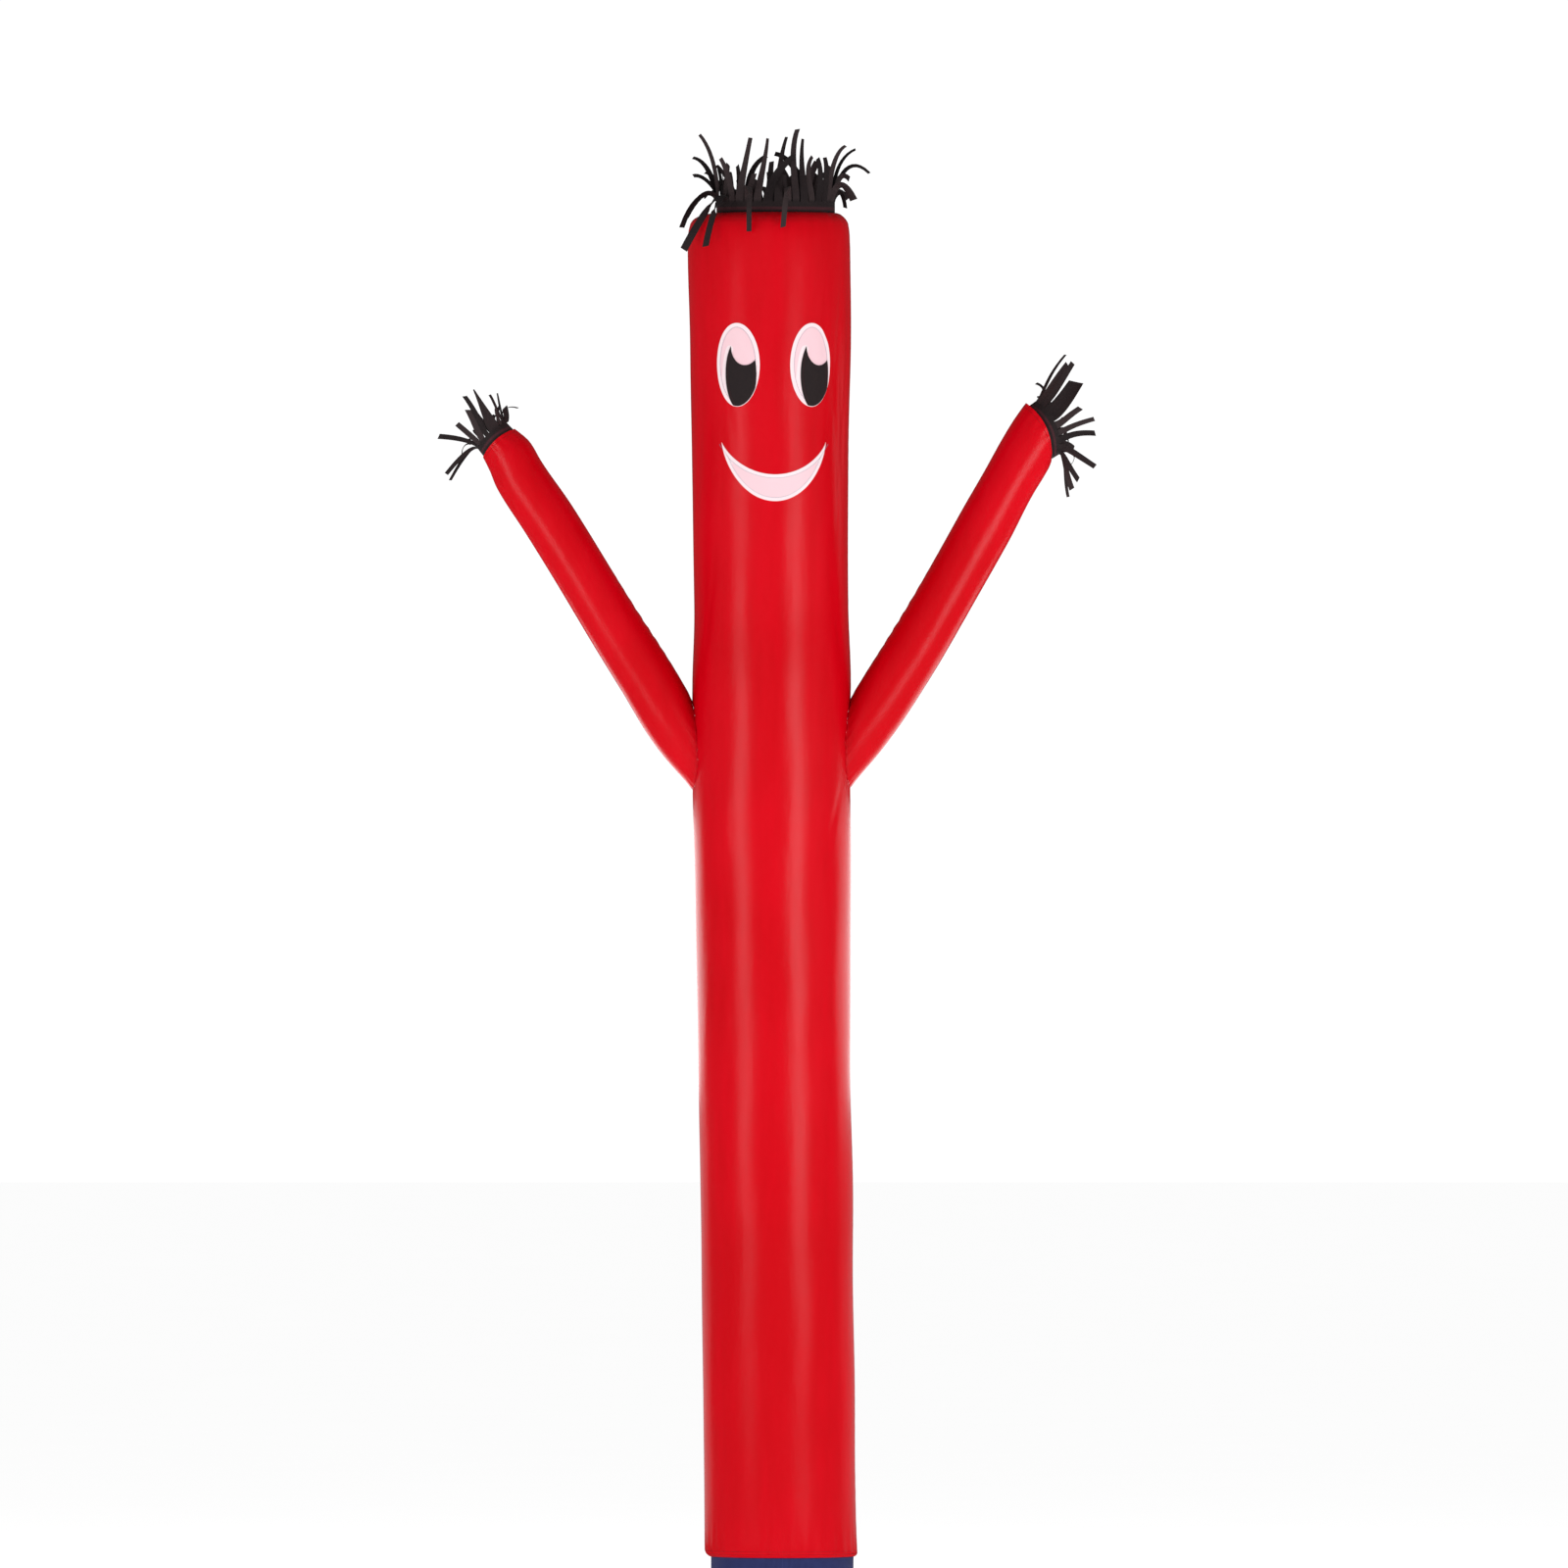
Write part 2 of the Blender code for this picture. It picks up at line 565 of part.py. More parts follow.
def all_strips(table, ring, band, keep_out, loose, trees):
    """The table's strips, and seeded ones in the room that is left; trees hold what they must not cross."""
    chance = random.Random(loose.seed)
    size = (ring.half_width + ring.half_depth) / 2
    table = sorted(table, key=lambda strip: strip.root_deg)
    placed = list(table)
    trees += [point_tree(samples(strip, ring, band)) for strip in table]
    for root_deg, room in free_roots(table, loose, size):
        for _ in range(TRIES):
            strip = loose_strip(root_deg, ring, loose, chance)
            strip = strip._replace(width=min(strip.width, room), tip_width=min(strip.tip_width, room))
            points = samples(strip, ring, band)
            if not any(keep_out(point) for point in points) and not crosses(points, trees):
                placed.append(strip)
                trees.append(point_tree(points))
                break
    turned = [strip._replace(root_deg=(strip.root_deg + 180) % 360 - 180) for strip in placed]
    return sorted(turned, key=lambda strip: strip.root_deg)


def in_body(point):
    """Whether a strip here would touch the red cloth of the body or hang out behind it."""
    height = min(max(point.z, BODY[0].height), BODY[-1].height)
    middle_x, radius = body_section(height)
    away = math.hypot(point.x - middle_x, point.y)
    beside = point.z < BODY[-1].height + ROOM_ABOVE_HEAD and away < radius + ROOM_BESIDE_HEAD
    return beside or point.y > BACK_REACH


def in_arm(ring):
    """Whether a strip here would reach back over the red end of its arm."""
    return lambda point: (point - ring.middle).dot(ring.normal) < -ROOM_AT_ARM


def band_and_strips(mesh, layer):
    """One layer of fringe. Returns its lower edge: angles and points, in order round the ring."""
    tops = []
    feet = []
    for strip, edges in zip(layer.strips, slit_edges(layer.strips, layer.ring)):
        columns = 2 if strip.width > WIDE_STRIP else 1
        rows = strip_rows(strip, edges, layer.ring, layer.band, layer.steps, columns)
        rows = [[mesh.verts.new(point) for point in row] for row in rows]
        for low, high in zip(rows, rows[1:]):
            for place in range(columns):
                mesh.faces.new((low[place], low[place + 1], high[place + 1], high[place]))
        tops += rows[0]
        for place in range(columns + 1):
            angle = edges[0] + (edges[1] - edges[0]) * place / columns
            feet.append((angle, mesh.verts.new(ring_point(layer.foot_ring, angle))))
    for place in range(len(tops)):
        after = (place + 1) % len(tops)
        mesh.faces.new((feet[place][1], feet[after][1], tops[after], tops[place]))
    return feet


def join_feet(mesh, outer, inner):
    """Closes the fold between the lower edges of two layers with triangles, going round by angle."""
    last = [outer[-1][1], inner[-1][1]]
    feet = [(angle, layer, foot) for layer, edge in enumerate((outer, inner)) for angle, foot in edge]
    for _, layer, foot in sorted(feet, key=lambda item: item[:2]):
        mesh.faces.new((last[0], last[1], foot))
        last[layer] = foot


def fringe(name, layers):
    """A band of black cloth tucked inside the red edge and cut into strips, as one sheet.

    Of two layers the second is the same cloth doubled back inside, so their lower edges are joined.
    """
    mesh = bmesh.new()
    feet = [band_and_strips(mesh, layer) for layer in layers]
    ring = layers[0].ring
    band_face = feet[0][0][1].link_faces[0]
    if len(layers) == 2:
        join_feet(mesh, *feet)
    bmesh.ops.recalc_face_normals(mesh, faces=mesh.faces[:])
    if band_face.normal.dot(band_face.calc_center_median() - ring.middle) < 0:
        bmesh.ops.reverse_faces(mesh, faces=mesh.faces[:])
    print(name, "has", sum(len(layer.strips) for layer in layers), "strips")
    piece = finished(name, mesh)
    wall(piece, STRIP_CLOTH)
    return piece


def narrower(ring, inset):
    return ring._replace(half_width=ring.half_width - inset, half_depth=ring.half_depth - inset)


def head_layers():
    """The hair: its band leaves the head just inside the vent, with the doubled layer behind it."""
    vent = BODY[-1]
    radius = vent.radius - VENT_INSET
    ring = Ring(Vector((vent.middle_x, 0, vent.height)), Vector((1, 0, 0)), FRONT, UP, radius, radius, 0)
    layers = []
    trees = []
    for inset, table, loose in ((0, HEAD_STRIPS, HEAD_LOOSE), (LAYERS_APART, [], INNER_LOOSE)):
        top = narrower(ring, inset)
        strips = all_strips(table, top, HEAD_BAND, in_body, loose, trees)
        foot = top._replace(middle=top.middle - UP * TUCK)
        layers.append(Layer(strips, top, foot, HEAD_BAND, HEAD_STEPS))
    return layers


def hand_layer(arm_table, side, slant, table, loose):
    """A hand's fringe: its band leaves the arm just inside the red edge and follows the arm's taper."""
    ends = arm_ring(arm_table[-1], side), arm_ring(arm_table[-2], side)
    flat_sides = ends[0].half_width * (1 - math.cos(math.pi / ARM_SIDES))
    share = HAND_TUCK / (ends[0].middle - ends[1].middle).length
    foot = Ring(*(end + (start - end) * share for end, start in zip(*ends)))
    ring, foot = (narrower(line, slant * (CLOTH + GAP) + flat_sides) for line in (ends[0], foot))
    strips = all_strips(table, ring, HAND_BAND, in_arm(ring), loose, [])
    return Layer(strips, ring, foot, HAND_BAND, HAND_STEPS)


def main():
    for old in list(bpy.data.objects):
        bpy.data.objects.remove(old)
    parts = collection("air_dancer")
    cutters = collection("cutters")
    root = bpy.data.objects.new("root", None)
    parts.objects.link(root)
    root.location = STAND

    made = {"red_nylon": [], "navy_webbing": [base_cuff()], "black_cloth": [], "white_cloth": []}
    body = body_tube()
    room = as_cutter(body_cutter(), cutters, root)
    made["red_nylon"].append(body)
    for side_name, side, table in (("right", 1, RIGHT_ARM), ("left", -1, LEFT_ARM)):
        sleeve = arm(f"arm_{side_name}", table, side)
        boolean(sleeve, room, "DIFFERENCE")
        bore = as_cutter(arm_cutter(f"bore_{side_name}", table, side), cutters, root)
        boolean(body, bore, "DIFFERENCE")
        made["red_nylon"].append(sleeve)

    made["black_cloth"].append(fringe("hair_fringe", head_layers()))
    for side_name, *arm_end in (
        ("right", RIGHT_ARM, 1, RIGHT_SLANT, RIGHT_HAND_STRIPS, RIGHT_LOOSE),
        ("left", LEFT_ARM, -1, LEFT_SLANT, LEFT_HAND_STRIPS, LEFT_LOOSE),
    ):
        made["black_cloth"].append(fringe(f"hand_fringe_{side_name}", [hand_layer(*arm_end)]))
    for side_name, side in (("right", 1), ("left", -1)):
        white, pupil = eye_pieces(side_name, side, cutters, root)
        made["white_cloth"].append(white)
        made["black_cloth"].append(pupil)
    made["white_cloth"].append(smile_piece(cutters, root))

    for finish, pieces in made.items():
        cloth = material(finish)
        for piece in pieces:
            parts.objects.link(piece)
            piece.parent = root
            piece.data.materials.append(cloth)


main()
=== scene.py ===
# %% [markdown]
# # An inflatable air dancer
#
# The real thing is a tube of light coated nylon that a blower fills with air. Two open arms are sewn into its
# sides, black fringes are tucked into its open ends, and a face is cut from cloth and sewn on. This lesson
# builds each of these as the thin cloth that it is, round a plain solid model that is already there. The solid
# model says where things are, so the first cell loads it and keeps the box of its cuff.

import bisect
import math
import random
from collections import namedtuple

import bmesh
import bpy
from mathutils import Matrix, Vector
from mathutils.kdtree import KDTree


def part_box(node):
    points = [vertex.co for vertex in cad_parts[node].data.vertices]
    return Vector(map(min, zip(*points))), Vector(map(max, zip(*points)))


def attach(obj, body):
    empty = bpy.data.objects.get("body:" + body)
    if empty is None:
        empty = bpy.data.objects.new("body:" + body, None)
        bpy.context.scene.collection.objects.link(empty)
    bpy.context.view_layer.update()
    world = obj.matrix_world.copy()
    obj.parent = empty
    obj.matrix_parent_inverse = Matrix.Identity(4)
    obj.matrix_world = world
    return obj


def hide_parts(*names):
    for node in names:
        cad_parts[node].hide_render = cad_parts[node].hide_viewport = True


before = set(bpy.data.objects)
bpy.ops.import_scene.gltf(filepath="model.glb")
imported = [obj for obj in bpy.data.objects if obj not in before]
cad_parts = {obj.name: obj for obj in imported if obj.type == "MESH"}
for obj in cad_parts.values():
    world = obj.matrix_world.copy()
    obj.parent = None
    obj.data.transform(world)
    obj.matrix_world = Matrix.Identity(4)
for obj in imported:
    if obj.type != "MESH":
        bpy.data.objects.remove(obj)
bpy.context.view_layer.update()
cuff_low, cuff_high = (Vector(corner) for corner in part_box("base_cuff"))
STAND = Vector(((cuff_low.x + cuff_high.x) / 2, (cuff_low.y + cuff_high.y) / 2, 0))
print("The cuff stands round", tuple(STAND))

# %% [markdown]
# ## Writing materials as sums
#
# A cloth's finish is mostly arithmetic: a weave is a product of two waves, a crinkle is a noise times a mask.
# Adding Math nodes by hand hides that, so one small class wraps a socket and lets Python's own operators add
# the nodes. Every other node comes from one method that takes its type, its settings and its sockets.

# %% Sockets that add up
class Wire:
    """A node's output, which Python's operators turn into Math nodes."""

    def __init__(self, graph, socket):
        self.graph = graph
        self.socket = socket

    def maths(self, operation, first, second=0.0):
        return self.graph.node("ShaderNodeMath", {"operation": operation}, {0: first, 1: second})

    def __add__(self, other):
        return self.maths("ADD", self, other)

    def __sub__(self, other):
        return self.maths("SUBTRACT", self, other)

    def __rsub__(self, other):
        return self.maths("SUBTRACT", other, self)

    def __mul__(self, other):
        return self.maths("MULTIPLY", self, other)

    __radd__ = __add__
    __rmul__ = __mul__


# %% Nodes from one method
class Graph:
    """A new material with one Principled shader, and the nodes that lead to it."""

    def __init__(self, name, **constants):
        self.material = bpy.data.materials.new(name)
        self.material.use_nodes = True
        self.nodes = self.material.node_tree.nodes
        self.shader = self.nodes["Principled BSDF"]
        for socket, value in constants.items():
            self.shader.inputs[socket.replace("_", " ")].default_value = value

    def node(self, kind, settings=None, sockets=None, output=0):
        made = self.nodes.new(kind)
        for name, value in (settings or {}).items():
            if name == "stops":
                self.set_stops(made.color_ramp, value)
            else:
                setattr(made, name, value)
        for name, value in (sockets or {}).items():
            self.join(value, made.inputs[name])
        return Wire(self, made.outputs[output])

    def set_stops(self, ramp, stops):
        for place, (position, colour) in enumerate(stops):
            stop = ramp.elements[place] if place < 2 else ramp.elements.new(position)
            stop.position = position
            stop.color = colour

    def join(self, value, socket):
        if isinstance(value, Wire):
            self.material.node_tree.links.new(value.socket, socket)
        else:
            socket.default_value = value

    def finish(self, **links):
        for socket, value in links.items():
            self.join(value, self.shader.inputs[socket.replace("_", " ")])
        return self.material


# %% Words that the cloths share
TURN = 2 * math.pi
THREAD = 0.0008


def sine(wire):
    return wire.maths("SINE", wire)


def clamped(graph, wire, low, high):
    """0 below low, 1 above high and a soft step between."""
    steps = {"Value": wire, "From Min": low, "From Max": high}
    return graph.node("ShaderNodeMapRange", {"interpolation_type": "SMOOTHSTEP"}, steps)


def mixed(graph, share, first, second):
    """A colour between two others."""
    return graph.node("ShaderNodeMix", {"data_type": "RGBA"}, {0: share, 6: first, 7: second}, 2)


def cloth_place(graph):
    """Where a point lies on the flat cloth, across and along it, in metres."""
    place = graph.node("ShaderNodeUVMap", {"uv_map": "cloth"})
    axes = graph.node("ShaderNodeSeparateXYZ", {}, {0: place})
    return axes, graph.node("ShaderNodeSeparateXYZ", {}, {0: place}, 1)


def weave(graph):
    """A plain weave: a wave across the cloth times a wave along it."""
    across, along = cloth_place(graph)
    return sine(across * (TURN / THREAD)) * sine(along * (TURN / THREAD))


def attribute(graph, name):
    """A value that the mesh keeps at its corners."""
    return graph.node("ShaderNodeAttribute", {"attribute_name": name}, {}, "Fac")


def noise(graph, scale, stretch=(1, 1, 1), detail=3.0):
    """Noise in the object's own space; a small stretch along an axis makes it long that way."""
    place = graph.node("ShaderNodeTexCoord", {}, {}, "Object")
    place = graph.node("ShaderNodeMapping", {}, {"Vector": place, "Scale": stretch})
    return graph.node("ShaderNodeTexNoise", {}, {"Vector": place, "Scale": scale, "Detail": detail})


def bumped(graph, height, depth, below=None):
    """The normal over a relief of this depth in metres."""
    sockets = {"Height": height, "Distance": depth}
    if below is not None:
        sockets["Normal"] = below
    return graph.node("ShaderNodeBump", {}, sockets)


# %% [markdown]
# ## Coated nylon
#
# The dancer's nylon is woven finely, dyed a strong red and coated, so it has a satin gloss: soft lighter bands
# where it faces a lamp. Blown up, it is tight with faint long crinkles, with a little painted shade in their
# troughs. The weave's own relief is only a few hundredths of a millimetre, so it is bump; the larger waves and
# puckers are in the mesh.

# %% Red nylon
RED = (0.62, 0.0004, 0.0075, 1)
DYE_AND_CRINKLE_SHADE_RED = (0.54, 0.0002, 0.0045, 1)


def red_nylon():
    graph = Graph("red_nylon_cloth", Specular_IOR_Level=0.15)
    clouds = noise(graph, 2.2, detail=2.0)
    crinkle = noise(graph, 46.0, (1, 1, 0.16), 4.0)
    wander = noise(graph, 9.0, (1, 1, 0.35))
    # The red is darker where the cloud noise is low, a tone of the dye. It is also darker where the crinkle noise
    # is low: painted shade in the troughs of the crinkles that the bump below makes.
    colour = mixed(graph, clamped(graph, clouds * 0.7 + crinkle * 0.3, 0.35, 0.68), DYE_AND_CRINKLE_SHADE_RED, RED)
    calm = bumped(graph, weave(graph), 0.000012)
    loose = bumped(graph, crinkle * clamped(graph, wander, 0.42, 0.62), 0.0007, calm)
    rough = 0.20 + 0.07 * wander
    return graph.finish(Base_Color=colour, Roughness=rough, Normal=loose)


# %% [markdown]
# ## Webbing, black cloth and white cloth
#
# The cuff is a woven band with ribs across it and a firm edge. The fringe is matt black cloth that turns a
# little maroon where the red shines on it; each strip got its own shade when it was cut, which the mesh keeps
# as an attribute. Half way up its band runs a maroon line, and a second attribute says how far up a corner
# is. The eyes and the smile are white cloth over red: pinkish where it is one layer thick, and white along
# the border, where the edge is turned under as far as the stitching.

# %% Navy webbing
RIB = 0.0026
NAVY = (0.012, 0.018, 0.090, 1)
NAVY_WORN_AND_RIB_HIGHLIGHT = (0.030, 0.045, 0.17, 1)
SELVEDGE = 0.003


def navy_webbing():
    graph = Graph("navy_webbing_band", Specular_IOR_Level=0.25, Sheen_Weight=0.05, Sheen_Roughness=0.4)
    across, along = cloth_place(graph)
    ribs = 0.5 + 0.5 * sine(across * (TURN / RIB) + sine(along * (TURN / RIB)) * 0.8)
    threads = sine(along * (TURN / THREAD)) * ribs
    worn = noise(graph, 60.0, detail=4.0)
    edge = 1 - clamped(graph, (cuff_high.z - along), 0.0, SELVEDGE)
    # The webbing is lighter on the tops of its ribs, which the bump below raises: a painted highlight, with
    # painted shade in the grooves between them. It is lighter too in patches where the worn noise is high.
    colour = mixed(graph, clamped(graph, ribs * 0.6 + worn * 0.5, 0.25, 0.95), NAVY, NAVY_WORN_AND_RIB_HIGHLIGHT)
    relief = bumped(graph, ribs + threads * 0.3 + edge, 0.00028)
    return graph.finish(Base_Color=colour, Roughness=0.62 + 0.12 * worn, Normal=relief)


# %% Black cloth
BLACK = (0.0105, 0.0062, 0.0070, 1)
BLACK_LIGHT = (0.034, 0.021, 0.022, 1)
MAROON = (0.085, 0.014, 0.022, 1)
MAROON_FROM, MAROON_TO, MAROON_SOFT = 0.50, 0.68, 0.06


def black_cloth():
    graph = Graph("black_fringe_cloth", Specular_IOR_Level=0.28, Sheen_Weight=0.03, Sheen_Roughness=0.5)
    shade = attribute(graph, "shade")
    fibres = noise(graph, 170.0, detail=3.0)
    colour = mixed(graph, clamped(graph, shade * 0.8 + fibres * 0.35, 0.1, 1.0), BLACK, BLACK_LIGHT)
    up = attribute(graph, "up_the_band")
    started = clamped(graph, up, MAROON_FROM - MAROON_SOFT, MAROON_FROM + MAROON_SOFT)
    ended = clamped(graph, up, MAROON_TO - MAROON_SOFT, MAROON_TO + MAROON_SOFT)
    colour = mixed(graph, (started - ended) * (0.3 + 0.5 * fibres), colour, MAROON)
    relief = bumped(graph, weave(graph) + fibres * 2.0, 0.00004)
    return graph.finish(Base_Color=colour, Roughness=0.62 + 0.2 * fibres, Normal=relief)


# %% White cloth
WHITE = (0.89, 0.735, 0.765, 1)
PINK_WHITE = (0.87, 0.585, 0.635, 1)
TURNED_UNDER = 0.0082
EDGE_SOFT = 0.0009


def white_cloth():
    graph = Graph("white_face_cloth", Specular_IOR_Level=0.25)
    from_edge = attribute(graph, "from_edge")
    single = clamped(graph, from_edge, TURNED_UNDER - EDGE_SOFT, TURNED_UNDER + EDGE_SOFT)
    clouds = noise(graph, 40.0, detail=2.0)
    colour = mixed(graph, single * (0.8 + 0.4 * clouds), WHITE, PINK_WHITE)
    puffed = bumped(graph, clamped(graph, from_edge, 0.0, TURNED_UNDER), 0.0004)
    relief = bumped(graph, weave(graph), 0.000015, puffed)
    return graph.finish(Base_Color=colour, Roughness=0.55 + 0.1 * clouds, Normal=relief)


# %% Thread
def thread(name, colour, rough=0.55):
    graph = Graph(name, Specular_IOR_Level=0.35)
    fibres = noise(graph, 900.0, detail=2.0)
    dark = tuple(part * 0.6 for part in colour[:3]) + (1,)
    return graph.finish(Base_Color=mixed(graph, fibres, dark, colour), Roughness=rough + 0.1 * fibres)


CLOTHS = {
    "red_nylon": red_nylon(),
    "navy_webbing": navy_webbing(),
    "black_cloth": black_cloth(),
    "white_cloth": white_cloth(),
}
THREADS = {
    "violet": thread("violet_thread", (0.27, 0.20, 0.32, 1)),
    "maroon": thread("maroon_thread", (0.10, 0.006, 0.010, 1)),
    "red": thread("red_thread", (0.72, 0.012, 0.020, 1), 0.45),
    "navy": thread("navy_thread", (0.035, 0.012, 0.045, 1)),
}
print("Finishes:", *CLOTHS, *THREADS)

# %% [markdown]
# ## Tables that bend smoothly
#
# The body and the arms are given as short tables: a few rows with a height, a middle and a radius, where the
# solid model goes straight from row to row. Cloth full of air has no corners, so here the same rows are joined
# by curves. The slope at a row is the harmonic mean of the slopes beside it, which never overshoots a row.

# %% A curve through a table
class Eased:
    """Reads a table between its rows, along smooth curves that never swing past a row."""

    def __init__(self, places, rows):
        self.places = places
        self.rows = rows
        pairs = list(zip(zip(places, rows), zip(places[1:], rows[1:])))
        rises = [[(b - a) / (to - at) for a, b in zip(low, high)] for (at, low), (to, high) in pairs]
        between = [[self.mean(a, b) for a, b in zip(*two)] for two in zip(rises, rises[1:])]
        self.slopes = [rises[0], *between, rises[-1]]

    @staticmethod
    def mean(a, b):
        return 2 * a * b / (a + b) if a * b > 0 else 0.0

    def __call__(self, place):
        low = min(max(bisect.bisect_right(self.places, place) - 1, 0), len(self.places) - 2)
        span = self.places[low + 1] - self.places[low]
        t = (place - self.places[low]) / span
        shares = ((1 + 2 * t) * (1 - t) ** 2, t * (1 - t) ** 2 * span, t * t * (3 - 2 * t), t * t * (t - 1) * span)
        parts = zip(self.rows[low], self.slopes[low], self.rows[low + 1], self.slopes[low + 1])
        return [sum(part * share for part, share in zip(four, shares)) for four in parts]


# %% The body's table
Section = namedtuple("Section", "height middle_x radius")
BODY = [
    Section(0.0500, 0.0000, 0.1527),
    Section(0.0520, -0.0005, 0.1555),
    Section(0.0560, -0.0015, 0.1583),
    Section(0.0640, -0.0030, 0.1597),
    Section(0.2310, -0.0058, 0.1590),
    Section(0.4370, -0.0078, 0.1597),
    Section(0.6430, -0.0099, 0.1592),
    Section(0.8490, -0.0130, 0.1607),
    Section(1.0550, -0.0161, 0.1597),
    Section(1.2610, -0.0181, 0.1617),
    Section(1.4670, -0.0202, 0.1638),
    Section(1.6220, -0.0222, 0.1658),
    Section(1.8790, -0.0230, 0.1669),
    Section(2.0440, -0.0235, 0.1622),
    Section(2.3740, -0.0253, 0.1648),
    Section(2.5800, -0.0255, 0.1690),
    Section(2.7860, -0.0274, 0.1710),
    Section(2.8270, -0.0274, 0.1700),
    Section(2.8500, -0.0270, 0.1662),
    Section(2.8600, -0.0260, 0.1600),
    Section(2.8670, -0.0235, 0.1500),
    Section(2.8715, -0.0185, 0.1380),
    Section(2.8735, -0.0140, 0.1262),
]
HEM, VENT = BODY[0], BODY[-1]
eased_body = Eased([row.height for row in BODY], [row[1:] for row in BODY])


def body_section(height):
    """Middle and radius of the body at this height."""
    return eased_body(min(max(height, HEM.height), VENT.height))


print("The tube is", round(2000 * body_section(1.2)[1]), "mm across below the arms")

# %% The arms' tables
ArmRing = namedtuple("ArmRing", "out height tilt_deg half_width half_depth bulge")
RIGHT_ARM = [
    ArmRing(0.0900, 1.6805, 82, 0.0600, 0.0560, 0),
    ArmRing(0.1446, 1.7600, 84, 0.0830, 0.0585, 0),
    ArmRing(0.1950, 1.8280, 64, 0.0690, 0.0597, 0),
    ArmRing(0.2560, 1.9220, 42, 0.0610, 0.0597, 0),
    ArmRing(0.3210, 2.0300, 30, 0.0597, 0.0600, 0),
    ArmRing(0.4227, 2.2089, 30, 0.0590, 0.0590, 0),
    ArmRing(0.4742, 2.3036, 31, 0.0564, 0.0585, 0),
    ArmRing(0.5134, 2.3716, 46, 0.0604, 0.0575, 0.008),
    ArmRing(0.5387, 2.4138, 66, 0.0663, 0.0560, 0.018),
]
LEFT_ARM = [
    ArmRing(0.1355, 1.6805, 82, 0.0600, 0.0560, 0),
    ArmRing(0.1912, 1.7560, 84, 0.0830, 0.0585, 0),
    ArmRing(0.2375, 1.8186, 62, 0.0690, 0.0597, 0),
    ArmRing(0.2900, 1.9050, 40, 0.0600, 0.0597, 0),
    ArmRing(0.3560, 2.0100, 31, 0.0585, 0.0595, 0),
    ArmRing(0.4909, 2.2295, 32, 0.0565, 0.0585, 0),
    ArmRing(0.5537, 2.3242, 32, 0.0546, 0.0565, 0),
    ArmRing(0.5740, 2.3640, 35, 0.0520, 0.0535, 0.003),
    ArmRing(0.5960, 2.3900, 42, 0.0446, 0.0470, 0.009),
]
FRONT = Vector((0, -1, 0))
UP = Vector((0, 0, 1))
ACROSS = Vector((1, 0, 0))
Ring = namedtuple("Ring", "middle across front normal half_width half_depth bulge")


def turns(count):
    """Angles evenly round a ring."""
    return [TURN * step / count for step in range(count)]


def turn_from(angle, degrees):
    """How far an angle lies past a direction in degrees, the short way round."""
    return (angle - math.radians(degrees) + math.pi) % TURN - math.pi


def ring_point(ring, angle, grow=0.0, along=0.0):
    """A point of the ring: angle 0 faces the viewer and grows towards the ring's across direction."""
    point = ring.middle + ring.across * (ring.half_width + grow) * math.sin(angle)
    point = point + ring.front * (ring.half_depth + grow) * math.cos(angle)
    return point + ring.normal * (ring.bulge * math.cos(angle) ** 2 + along)


def arm_ring(row, side):
    """A row of an arm's table as a ring in space; side is 1 for the right arm and -1 for the left."""
    row = ArmRing(*row)
    tilt = math.radians(row.tilt_deg)
    across = Vector((side * math.cos(tilt), 0, -math.sin(tilt)))
    normal = Vector((side * math.sin(tilt), 0, math.cos(tilt)))
    middle = Vector((side * row.out, 0, row.height))
    return Ring(middle, across, FRONT, normal, row.half_width, row.half_depth, row.bulge)


def table_places(table):
    """How far along the arm each row of its table lies."""
    places = [0.0]
    for low, high in zip(table, table[1:]):
        places.append(places[-1] + math.hypot(high.out - low.out, high.height - low.height))
    return places


Sleeve = namedtuple("Sleeve", "name side table rings long")
SLEEVES = []
for name, side, table in (("right", 1, RIGHT_ARM), ("left", -1, LEFT_ARM)):
    places = table_places(table)
    SLEEVES.append(Sleeve(name, side, table, Eased(places, table), places[-1]))


def ring_at(sleeve, place):
    """The ring of an arm this far along it."""
    return arm_ring(sleeve.rings(place), sleeve.side)


print("The arms are", *(round(1000 * sleeve.long) for sleeve in SLEEVES), "mm long")

# %% [markdown]
# ## Where the arms are sewn in
#
# Each arm meets the body along a closed line. That line is found by walking up the arm at each angle, halving
# the step until the point is just where the body's wall is. Sewing draws the cloth in, so both cloths pucker
# beside this line, and the puckers must match on both sides of it.

# %% The arm seams
SEAM_POINTS = 180
HALVINGS = 24
ROOT_END = 0.36


def inside_body(point):
    middle_x, radius = body_section(point.z)
    return math.hypot(point.x - middle_x, point.y) < radius


def seam_place(sleeve, angle):
    """How far along the arm its cloth passes through the body's wall, at this angle."""
    low, high = 0.0, sleeve.long * ROOT_END
    for _ in range(HALVINGS):
        middle = (low + high) / 2
        inside = inside_body(ring_point(ring_at(sleeve, middle), angle))
        low, high = (middle, high) if inside else (low, middle)
    return low


def seam_line(sleeve):
    angles = turns(SEAM_POINTS)
    places = [seam_place(sleeve, angle) for angle in angles]
    points = [ring_point(ring_at(sleeve, place), angle) for place, angle in zip(places, angles)]
    return places, points


SEAMS = {sleeve.name: seam_line(sleeve) for sleeve in SLEEVES}
seam_tree = KDTree(2 * SEAM_POINTS)
for sleeve_number, sleeve in enumerate(SLEEVES):
    for step, point in enumerate(SEAMS[sleeve.name][1]):
        seam_tree.insert(point, sleeve_number * SEAM_POINTS + step)
seam_tree.balance()
for name, (_, points) in SEAMS.items():
    around = sum((a - b).length for a, b in zip(points, points[1:] + points[:1]))
    print("The", name, "arm's seam is", round(1000 * around), "mm round")

